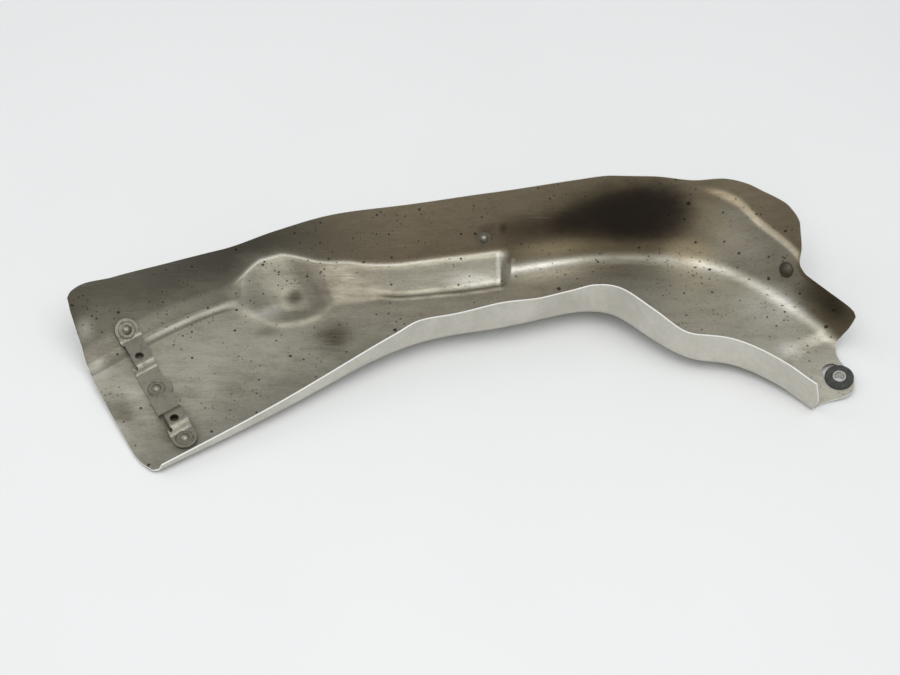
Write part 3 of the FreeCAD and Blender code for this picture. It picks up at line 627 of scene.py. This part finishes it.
def stood(name: str, data: bpy.types.ID) -> bpy.types.Object:
    """New object in the scene."""
    made = bpy.data.objects.new(name, data)
    bpy.context.scene.collection.objects.link(made)
    return made


def gaps_of(marks: np.ndarray, stations: np.ndarray) -> tuple[np.ndarray, np.ndarray]:
    """Number of the gap that holds each station, and the share of the way through it."""
    number = np.clip(np.searchsorted(marks, stations, side="left") - 1, 0, len(marks) - 2)
    return number, (stations - marks[number]) / (marks[number + 1] - marks[number])


def fair_rail(table: dict[float, float]) -> Rail:
    """Natural cubic spline through a table of stations and values.

    Args:
        table: value by station.

    Returns:
        The rail as a function of stations.
    """
    marks, values = np.array(list(table), float), np.array(list(table.values()), float)
    gaps = np.diff(marks)
    system, turns = np.eye(len(marks)), np.zeros(len(marks))
    for i in range(1, len(marks) - 1):
        system[i, i - 1:i + 2] = gaps[i - 1], 2 * (gaps[i - 1] + gaps[i]), gaps[i]
        turns[i] = 6 * ((values[i + 1] - values[i]) / gaps[i] - (values[i] - values[i - 1]) / gaps[i - 1])
    bends = np.linalg.solve(system, turns)

    def rail(stations: np.ndarray) -> np.ndarray:
        """Values at stations."""
        i, share = gaps_of(marks, stations)
        rest = 1 - share
        curl = (rest ** 3 - rest) * bends[i] + (share ** 3 - share) * bends[i + 1]
        return rest * values[i] + share * values[i + 1] + curl * gaps[i] ** 2 / 6
    return rail


def outline_rail(table: dict[float, float]) -> Rail:
    """Monotone cubic, which never overshoots its values.

    Args:
        table: value by station.

    Returns:
        The rail as a function of stations.
    """
    marks, values = np.array(list(table), float), np.array(list(table.values()), float)
    chords = np.diff(values) / np.diff(marks)
    slopes = np.concatenate([chords[:1], np.zeros(len(values) - 2), chords[-1:]])
    for i in range(1, len(values) - 1):
        if chords[i - 1] * chords[i] > 0:
            slopes[i] = 2 * chords[i - 1] * chords[i] / (chords[i - 1] + chords[i])

    def rail(stations: np.ndarray) -> np.ndarray:
        """Values at stations."""
        i, share = gaps_of(marks, np.clip(stations, marks[0], marks[-1]))
        rest, gap = 1 - share, marks[i + 1] - marks[i]
        ends = rest ** 2 * (1 + 2 * share) * values[i] + share ** 2 * (1 + 2 * rest) * values[i + 1]
        return ends + gap * share * rest * (rest * slopes[i] - share * slopes[i + 1])
    return rail


def columns(fields: tuple[str, ...], rows: dict[float, tuple[float, ...]]) -> dict[str, dict[float, float]]:
    """Turn rows of several fields by station into one table of stations and values per field."""
    return {name: {station: row[i] for station, row in rows.items()} for i, name in enumerate(fields)}


# Guide rails of the pressing by station, in millimetres, as the frame's panel has them.
VALLEY = columns(("valley_x", "valley_y", "valley_z", "valley_blend", "valley_lean"), {
    0: (-262, -34, 4, 6, 0.95), 1: (-205, 9, 5, 4.5, 1.02), 2: (-145, 44, 4.5, 4.5, 0.65),
    3: (-70, 61, 2, 9, 0.63), 4: (15, 72, 0, 13, 0.56), 5: (70, 83, 0.5, 18, 0.42),
    6: (115, 86, 1.5, 20, 0.37), 7: (158, 77, 3, 16, 0.54), 8: (194, 54, 5, 12, 0.57),
    9: (229, 18, 7, 8, 0.37), 10: (260, -16, 8, 8, 0.33),
})
FOOT = columns(("foot_x", "foot_y", "foot_z", "foot_blend", "foot_sag"), {
    0: (-219, -107, 1, 6, 1.5), 1: (-160, -73, 2.5, 7, 1.8), 2: (-102, -38, 5, 8, 2),
    3: (-43, -2, 9, 7, 1.5), 3.5: (-14, 9.5, 10, 5, 1.2), 4: (17, 15, 11.5, 4.5, 1),
    5: (66, 28, 12, 4, 0.7), 5.5: (82, 29.5, 12, 4, 0.6), 6: (97, 25, 12, 4, 0.5),
    6.5: (112, 13, 11, 4, 0.4), 7: (129, 0, 9.5, 4, 0.3), 7.5: (145, -6.5, 7.5, 4, 0.3),
    8: (162, -8, 6, 4, 0.2), 9: (196, -24, 3, 4, 0.1), 10: (226, -49, 1, 4, 0),
})
SHELF = columns(("shelf_wall", "shelf_run", "shelf_height", "shelf_foot"), {
    1.88: (8, 0, 0, 10), 1.97: (9.2, 2.5, 1, 14), 2.06: (11.9, 8.4, 3.1, 19.4),
    2.15: (15.3, 14.6, 5.5, 24.2), 2.24: (18.7, 19.6, 7.5, 27.6), 2.33: (21.2, 22.2, 8.5, 29.1),
    2.42: (22.2, 22.6, 8.7, 29.2), 2.51: (21.5, 21, 8, 28), 2.6: (19.5, 17.6, 6.8, 25.3),
    2.69: (17, 13.6, 5.3, 21.4), 2.78: (14.9, 10.6, 4.3, 18), 2.87: (13.9, 9.6, 4.3, 16.4),
    2.97: (13.3, 10, 4.8, 16), 3.12: (10.9, 12, 3.8, 16), 3.3: (9.7, 14.8, 3.8, 17.5),
    3.75: (11.5, 14.5, 4.5, 17.5), 4.12: (12.5, 13.5, 4.8, 17), 4.245: (12.5, 0, 0, 14),
    4.3: (12.5, 0, 0, 14),
})
RIMS = {
    "far_rim": {
        0.5: 30, 0.54: 32, 0.6: 34.2, 0.68: 34.7, 1: 31.7, 1.5: 30, 2: 31, 2.5: 36.6, 3: 42, 3.4: 43.6,
        4: 48.3, 5: 53.5, 5.5: 56.3, 6: 55.6, 6.6: 52, 7: 53, 7.3: 52.4, 7.6: 50.9, 7.9: 50.6, 8.05: 48.8,
        8.16: 46, 8.22: 41, 8.3: 33.5, 8.33: 28, 8.39: 24.4, 8.5: 22.6, 9.2: 23.6, 9.3: 23.3,
    },
    "near_rim": {
        0.4: 3, 1: 6.5, 2: 12, 2.5: 15.2, 3: 20.3, 3.25: 24.6, 3.6: 22.7, 4.1: 26.3, 4.6: 22.8, 5: 23.6,
        5.5: 27.8, 6.3: 31, 6.7: 30.2, 7.25: 25.7, 7.7: 27.4, 8.5: 26.6, 9.2: 26, 10: 26.5,
    },
    "joggle": {6.4: 50, 6.83: 45.6, 7.25: 41, 7.67: 33.5, 8.2: 30, 8.35: 28},
}
LEFT_END = {
    -1: 0.55, -0.9: 0.53, -0.68: 0.505, -0.28: 0.488, 0: 0.485, 0.37: 0.472, 0.65: 0.468, 0.78: 0.47,
    0.85: 0.486, 0.9: 0.52, 0.95: 0.56, 1: 0.59, 2: 0.62,
}
RIGHT_END = {
    -1: 9.27, -0.9: 9.32, -0.55: 9.29, -0.25: 9.24, 0: 9.214, 0.074: 9.243, 0.132: 9.297, 0.18: 9.405,
    0.207: 9.53, 0.235: 9.668, 0.306: 9.807, 0.37: 9.859, 0.453: 9.875, 0.555: 9.849, 0.734: 9.734,
    0.9: 9.65, 1: 9.63, 1.4: 9.7, 2: 9.62,
}


@dataclass
class ShieldPanel:
    """The pressed sheet, drawn from its guide rails. Sizes are in millimetres."""

    thickness: float = 1.0
    flange_lean: float = 0.04
    shelf_blend: float = 4.0
    shelf_edge_blend: float = 3.5
    joggle_depth: float = 2.5
    joggle_ramp: float = 6.0
    joggle_start: float = 6.5
    joggle_run: float = 0.6
    lug_station: float = 9.585
    lug_across: float = 20.0
    lug_step_depth: float = 2.4
    lug_step_radius: float = 32.0
    lug_step_ramp: float = 12.0
    dent_station: float = 0.62
    dent_across: float = 36.0
    dent_depth: float = 1.2
    dent_radius: float = 10.0
    slot_width: float = 12.6
    slot_run: float = 6.0
    slot_depth: float = 6.0
    slot_steps: int = 24
    sharp_angle: float = 45.0
    leg_rows: tuple[int, ...] = (24, 8, 5, 16, 5, 8, 24, 10, 6)
    left_zone: tuple[float, int] = (1.2, 30)
    middle_zones: tuple[tuple[float, int], ...] = (
        (1.9, 20), (2.8, 54), (3.3, 28), (4.07, 28), (4.3, 28), (8, 90), (8.5, 36), (8.9, 10))
    right_columns: int = 44

    def __post_init__(self) -> None:
        """Fit the rails, then find the lug and the dent on the plain sheet."""
        self.rails = {name: fair_rail(table) for name, table in {**VALLEY, **FOOT}.items()}
        self.rails |= {name: outline_rail(table) for name, table in {**SHELF, **RIMS}.items()}
        self.ends = outline_rail(LEFT_END), outline_rail(RIGHT_END)
        self.lug = self.dent = None
        self.dent = self.floor_point(self.dent_station, self.dent_across)
        self.lug = self.floor_point(self.lug_station, self.lug_across)

    def section(self, station: np.ndarray) -> dict[str, Any]:
        """Corners, bend lengths and frame of the sections.

        Args:
            station: stations along the shield.

        Returns:
            The rails' values with corners, runs, bends, width, slope and across.
        """
        at = {name: rail(station) for name, rail in self.rails.items()}
        run = np.stack([at["foot_x"] - at["valley_x"], at["foot_y"] - at["valley_y"]], -1)
        width = np.linalg.norm(run, axis=-1)
        slope = (at["foot_z"] - at["valley_z"]) / width
        shelf = ease(at["shelf_run"] / (2 * self.shelf_blend))
        rise = np.minimum(np.maximum(at["shelf_wall"], 1.0), 0.6 * at["far_rim"])
        edge, root = at["shelf_run"], at["shelf_foot"]
        corners = [np.stack(pair, -1) for pair in (
            (-at["valley_lean"] * at["far_rim"], at["far_rim"]), (-at["valley_lean"] * rise, rise),
            (edge, at["shelf_height"] + slope * edge), (root, slope * root), (width, slope * width),
            (width + self.flange_lean * at["near_rim"], slope * width + at["near_rim"]))]
        runs = [np.linalg.norm(corners[i + 1] - corners[i], axis=-1) for i in range(5)]
        plain = np.full_like(width, self.shelf_blend)
        bends = [0 * width, plain, mix(at["valley_blend"], self.shelf_edge_blend, shelf), plain,
                 at["foot_blend"], 0 * width]
        for i in range(1, 5):
            bends[i] = np.minimum(bends[i], BEND_SHARE * np.minimum(runs[i - 1], runs[i]))
        return dict(at, corners=corners, runs=runs, bends=bends, width=width, slope=slope,
                    across=run / width[..., None])

    def flat_point(self, section: dict[str, Any], row: float) -> tuple[np.ndarray, np.ndarray]:
        """Place in the rounded sections at a row.

        Args:
            section: the sections.
            row: 0 at the far rim to 9 at the near rim. Odd rows are bends.

        Returns:
            Distance across and height.
        """
        leg = min(int(row), LAST_ROW - 1)
        share = row - leg
        corners, runs, bends = section["corners"], section["runs"], section["bends"]

        def beside(corner: int, other: int) -> np.ndarray:
            """Where the bend at a corner ends, on the way to another corner."""
            near = bends[corner] / runs[min(corner, other)]
            return mix(corners[corner], corners[other], near[..., None])
        if leg % 2 == 0:
            start, end = beside(leg // 2, leg // 2 + 1), beside(leg // 2 + 1, leg // 2)
            if leg == 0:
                share = self.wall_share(section, end[..., 1], share)[..., None]
            point = mix(start, end, share)
        else:
            corner = (leg + 1) // 2
            start, end = beside(corner, corner - 1), beside(corner, corner + 1)
            point = (1 - share) ** 2 * start + 2 * share * (1 - share) * corners[corner] + share ** 2 * end
        return point[..., 0], point[..., 1]

    def wall_share(self, section: dict[str, Any], low: np.ndarray, share: float) -> np.ndarray:
        """Share down the upper wall, in thirds whose rows run along the joggle's top and foot.

        Args:
            section: the sections.
            low: height at which the upper wall ends.
            share: plain share of the upper wall.

        Returns:
            The share at which the row lies, by section.
        """
        rim, ramp = section["far_rim"], self.joggle_ramp
        top = np.minimum(section["joggle"] + ramp / 2, mix(rim, low, 0.25))
        foot = np.minimum(section["joggle"] - ramp / 2, mix(rim, low, 0.6))
        heights = (rim, top, foot, low)
        third = min(int(share * 3), 2)
        height = mix(heights[third], heights[third + 1], share * 3 - third)
        return (rim - height) / (rim - low)

    def place(self, station: np.ndarray, across: np.ndarray, height: np.ndarray) -> np.ndarray:
        """Points of places in the sections, with the sag, the joggle, the lug's step and the dent.

        Args:
            station: stations along the shield.
            across: distances from the valley towards the foot.
            height: heights over the valley.

        Returns:
            Points in millimetres, one a row.
        """
        section = self.section(station)
        share = np.clip(across / section["width"], 0, 1)
        height = height - SAG_SCALE * section["foot_sag"] * share ** 2 * (1 - share)
        lean = np.hypot(1, section["valley_lean"])
        above = (height - section["joggle"]) / self.joggle_ramp + 0.5
        along = ease((station - self.joggle_start) / self.joggle_run)
        back = np.where(across < 0, self.joggle_depth * ease(above) * along, 0)
        across = across - back / lean
        height = height - back * section["valley_lean"] / lean
        corner = np.stack([section["valley_x"], section["valley_y"]], -1)
        flat = corner + section["across"] * across[..., None]
        tall = section["valley_z"] + height
        if self.lug is not None:
            inside = self.lug_step_radius - np.linalg.norm(flat - self.lug[:2], axis=-1)
            tall = tall - self.lug_step_depth * ease(inside / self.lug_step_ramp + 0.5)
        if self.dent is not None:
            away = np.linalg.norm(flat - self.dent[:2], axis=-1) / self.dent_radius
            tall = tall - self.dent_depth * np.exp(-away ** 2)
        return np.concatenate([flat, tall[..., None]], -1)

    def floor_point(self, station: float, across: float) -> np.ndarray:
        """Point of the floor at a station and a distance from the valley, in millimetres."""
        at, offset = np.array([float(station)]), np.array([float(across)])
        return self.place(at, offset, self.section(at)["slope"] * offset)[0]

    def point(self, station: np.ndarray, row: float) -> np.ndarray:
        """Points of the hot face."""
        return self.place(station, *self.flat_point(self.section(station), row))

    def below(self, station: np.ndarray, row: float, depth: float) -> np.ndarray:
        """Points under the hot face.

        Args:
            station: stations along the shield.
            row: row round the section.
            depth: distance under the hot face.

        Returns:
            Points in millimetres, one a row.
        """
        small = 0.004
        over = self.point(station, min(row + small, LAST_ROW)) - self.point(station, max(row - small, 0))
        along = self.point(station + small, row) - self.point(station - small, row)
        normal = np.cross(over, along)
        return self.point(station, row) - depth * normal / np.linalg.norm(normal, axis=-1)[..., None]

    def girth_share(self, row: float) -> float:
        """Share of the girth at a row, read where the section is plain."""
        section = self.section(np.array([self.middle_zones[-1][0]]))
        runs = [float(run[0]) for run in section["runs"]]
        bends = [float(bend[0]) for bend in section["bends"]]
        marks, reached = [0.0], 0.0
        for leg, run in enumerate(runs):
            if leg:
                marks.append(reached + bends[leg])
            marks.append(reached + run - bends[leg + 1])
            reached += run
        leg = min(int(row), LAST_ROW - 1)
        length = mix(marks[leg], marks[leg + 1], row - leg)
        wall, floor = runs[0] + runs[1], runs[2] + runs[3]
        if length < wall:
            return length / wall - 1
        if length < wall + floor:
            return (length - wall) / floor
        return 1 + (length - wall - floor) / runs[4]

    def stations(self, row: float) -> np.ndarray:
        """Stations along a row, which start and end on the blank's outline."""
        share = np.array([self.girth_share(row)])
        start = float(self.ends[0](share)[0])
        stops = []
        last = (float(self.ends[1](share)[0]), self.right_columns)
        for end, count in (self.left_zone, *self.middle_zones, last):
            stops.append(np.linspace(start, end, count, endpoint=False))
            start = end
        return np.concatenate([*stops, [start]])

    def rows(self) -> list[float]:
        """Rows round the section, from the far rim to the near one."""
        legs = enumerate(self.leg_rows)
        return [leg + part / parts for leg, parts in legs for part in range(parts)] + [float(LAST_ROW)]

    def all_stations(self) -> np.ndarray:
        """Stations of all the points of one face."""
        return np.concatenate([self.stations(row) for row in self.rows()])

    def grids(self) -> tuple[np.ndarray, np.ndarray]:
        """Points of the hot and the cold face, by row and column, moved into the frame."""
        rows = self.rows()
        hot = np.stack([self.below(self.stations(row), row, 0) for row in rows])
        cold = np.stack([self.below(self.stations(row), row, self.thickness) for row in rows])
        both = np.concatenate([hot.reshape(-1, 3), cold.reshape(-1, 3)])
        low, high = (np.array(corner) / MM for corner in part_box("shield_panel"))
        shift = (low + high) / 2 - (both.min(0) + both.max(0)) / 2
        shift[2] = low[2] - both.min(0)[2]
        return np.clip(hot + shift, low, high), np.clip(cold + shift, low, high)

    def build(self) -> bpy.types.Object:
        """Make the sheet as one mesh, its faces numbered for three material slots."""
        hot, cold = self.grids()
        rows, count = hot.shape[:2]
        number = np.arange(rows * count).reshape(rows, count)
        under = number + rows * count
        quads = [np.stack([number[:-1, :-1], number[1:, :-1], number[1:, 1:], number[:-1, 1:]], -1),
                 np.stack([under[:-1, :-1], under[:-1, 1:], under[1:, 1:], under[1:, :-1]], -1)]
        edges = []
        for top, low in ((number[0], under[0]), (number[::-1, 0], under[::-1, 0]),
                         (number[:, -1], under[:, -1]), (number[-1, ::-1], under[-1, ::-1])):
            edges.append(np.stack([top[:-1], top[1:], low[1:], low[:-1]], -1))
        faces = [quad.reshape(-1, 4) for quad in quads] + [np.concatenate(edges)]
        mesh = bpy.data.meshes.new("shield_sheet")
        points = np.concatenate([hot.reshape(-1, 3), cold.reshape(-1, 3)]) * MM
        mesh.from_pydata(points.tolist(), [], np.concatenate(faces).tolist())
        sides = np.repeat([side.value for side in Side], [len(face) for face in faces])
        mesh.polygons.foreach_set("material_index", sides.astype(np.int32))
        mesh.polygons.foreach_set("use_smooth", np.ones(len(sides), bool))
        mesh.update()
        for name, values in (("row", np.repeat(self.rows(), count)), ("station", self.all_stations())):
            carried = mesh.attributes.new(name, "FLOAT", "POINT")
            carried.data.foreach_set("value", np.tile(values, 2).astype(np.float32))
        return stood("shield_sheet", mesh)

    def dress(self, sheet: bpy.types.Object) -> None:
        """Cut the lug's slot, dress the sheet and put it in the frame.

        Args:
            sheet: the sheet's object.
        """
        # Near-white cut edge: unstained cut metal with a painted highlight along the rim.
        edge = PlainMetal("cut_edge", (0.88, 0.87, 0.83), (0.6, 0.59, 0.55), patch=8, grimy=0.2,
                          roughness=0.4, metal=0.35)
        finishes = {Side.HOT: StainedSteel(), Side.COLD: CleanSteel(), Side.EDGE: edge}
        for side in Side:
            sheet.data.materials.append(finishes[side].material())
        self.cut_slot(sheet)
        sheet.data.set_sharp_from_angle(angle=math.radians(self.sharp_angle))
        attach(sheet, BODY)
        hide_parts("shield_panel")

    def cut_slot(self, sheet: bpy.types.Object) -> None:
        """Cut the slot for the grommet through the lug.

        Args:
            sheet: the sheet's object.
        """
        mount = [mount for mount in frame["record"]["mounts"] if mount["name"] == "sleeve_bore"][0]
        up = Vector(mount["axis"]).normalized()
        ahead = self.floor_point(self.lug_station + 0.01, self.lug_across)
        behind = self.floor_point(self.lug_station - 0.01, self.lug_across)
        along = Vector(ahead - behind)
        along = (along - up * along.dot(up)).normalized()
        side = up.cross(along)
        half, run, deep = self.slot_width / 2 * MM, self.slot_run * MM, self.slot_depth * MM
        steps = self.slot_steps
        outline = []
        for i in range(2 * steps):
            angle = math.pi * (i - (i >= steps)) / (steps - 1) - math.pi / 2
            back = run if i >= steps else 0
            outline.append(along * (half * math.cos(angle) - back) + side * (half * math.sin(angle)))
        middle = Vector(mount["pos_m"])
        points = [middle + point + up * level for level in (-deep, deep) for point in outline]
        count = len(outline)
        faces = [list(range(count))[::-1], list(range(count, 2 * count))]
        faces += [[i, (i + 1) % count, count + (i + 1) % count, count + i] for i in range(count)]
        mesh = bpy.data.meshes.new("slot_cutter")
        mesh.from_pydata([tuple(point) for point in points], [], faces)
        cutter = stood("slot_cutter", mesh)
        cut = sheet.modifiers.new("slot", "BOOLEAN")
        cut.operation = "DIFFERENCE"
        cut.solver = "EXACT"
        cut.object = cutter
        bpy.context.view_layer.update()
        evaluated = sheet.evaluated_get(bpy.context.evaluated_depsgraph_get())
        sheet.modifiers.clear()
        sheet.data = bpy.data.meshes.new_from_object(evaluated)
        bpy.data.objects.remove(cutter)


@dataclass
class Hardware:
    """The strap, rivets, washer, grommet and sleeve, which keep their solids from the frame."""

    seat_gap: float = 4.0

    def seats(self) -> tuple[Point, ...]:
        """Middles of the strap's rivets in millimetres, from their solids."""
        points = np.array([corner.co for corner in frame["nodes"]["strap_rivets"].data.vertices]) / MM
        points = points[np.argsort(points[:, 0])]
        breaks = np.flatnonzero(np.diff(points[:, 0]) > self.seat_gap) + 1
        middles = [(group.min(0) + group.max(0)) / 2 for group in np.split(points, breaks)]
        return tuple(tuple(float(part) for part in middle) for middle in middles)

    def dress(self) -> None:
        """Give each piece its finish."""
        strap = StrapSteel(self.seats())
        rivet = PlainMetal("rivet_steel", (0.27, 0.25, 0.2), (0.09, 0.08, 0.06), patch=3, roughness=0.42)
        dark = PlainMetal("dark_rivet", (0.13, 0.112, 0.084), (0.045, 0.038, 0.03), patch=3, grimy=0.6,
                          roughness=0.58)
        sleeve = PlainMetal("sleeve_steel", (0.62, 0.61, 0.57), (0.3, 0.29, 0.26), patch=3, grimy=0.3,
                            roughness=0.38)
        finishes = {"fixing_strap": strap, "strap_rivets": rivet, "wall_rivet": rivet,
                    "wall_rivet_washer": rivet, "end_rivet": dark, "rubber_grommet": Rubber(),
                    "bush_sleeve": sleeve}
        made = {}
        for node, finish in finishes.items():
            if finish not in made:
                made[finish] = finish.material()
            materials = frame["nodes"][node].data.materials
            materials.clear()
            materials.append(made[finish])
            LOG.info("dressed %s", node)


@dataclass
class Studio:
    """Pale floor, soft lights and the camera.

    The camera's lengths are in millimetres and its angle in degrees. The rest is in metres.
    """

    elevation: float = 50.0
    distance: float = 1250.0
    target: Point = (-7.5, 0.2, 11.4)
    lens: float = 79.37
    floor_reach: float = 6.0
    floor_drop: float = 0.0002
    room_colour: Colour = (0.95, 0.97, 1.0)
    room_strength: float = 0.5

    def build(self) -> None:
        """Make the floor, the lights, the world and the camera."""
        self.make_floor()
        self.make_lamp("key", where=(0.1, -0.45, 1.6), size=(1.8, 1.4), watts=18.5)
        self.make_lamp("fill", where=(-1.4, 0.5, 1.2), size=(1.2, 1.2), watts=4.0)
        self.make_world()
        self.make_camera()
        bpy.context.scene.view_settings.view_transform = "Standard"

    def make_floor(self) -> None:
        """Lay the floor under the part."""
        half = self.floor_reach / 2
        mesh = bpy.data.meshes.new("studio_floor")
        corners = [(-half, -half, 0), (half, -half, 0), (half, half, 0), (-half, half, 0)]
        mesh.from_pydata(corners, [], [(0, 1, 2, 3)])
        floor = stood("studio_floor", mesh)
        floor.location.z = -self.floor_drop
        mesh.materials.append(FloorPaper().material())

    def make_lamp(self, name: str, where: Point, size: tuple[float, float], watts: float) -> None:
        """Hang a soft box that faces the part.

        Args:
            name: the lamp's name.
            where: its place in metres.
            size: its width and height in metres.
            watts: its power.
        """
        lamp = bpy.data.lights.new(name, "AREA")
        lamp.shape = "RECTANGLE"
        lamp.size, lamp.size_y = size
        lamp.energy = watts
        holder = stood(name, lamp)
        holder.location = where
        holder.rotation_euler = (-Vector(where)).to_track_quat("-Z", "Y").to_euler()

    def make_world(self) -> None:
        """Light the room evenly."""
        world = bpy.data.worlds.new("studio")
        world.use_nodes = True
        background = world.node_tree.nodes["Background"]
        background.inputs["Color"].default_value = (*self.room_colour, 1)
        background.inputs["Strength"].default_value = self.room_strength
        bpy.context.scene.world = world

    def make_camera(self) -> None:
        """Stand the camera at the photograph's angle."""
        camera = bpy.data.cameras.new("camera")
        camera.lens = self.lens
        camera.sensor_width = 36.0
        camera.clip_end = 20.0
        holder = stood("camera", camera)
        tilt = math.radians(self.elevation)
        back = Vector((0, -math.cos(tilt), math.sin(tilt)))
        holder.location = (Vector(self.target) + back * self.distance) * MM
        holder.rotation_euler = (math.pi / 2 - tilt, 0, 0)
        bpy.context.scene.camera = holder


def main() -> None:
    """Build the part's looks and the studio."""
    logging.basicConfig(level=logging.INFO, format="%(name)s: %(message)s")
    panel = ShieldPanel()
    sheet = panel.build()
    panel.dress(sheet)
    LOG.info("sheet: %d faces", len(sheet.data.polygons))
    Hardware().dress()
    Studio().build()


if __name__ == "__main__":
    main()
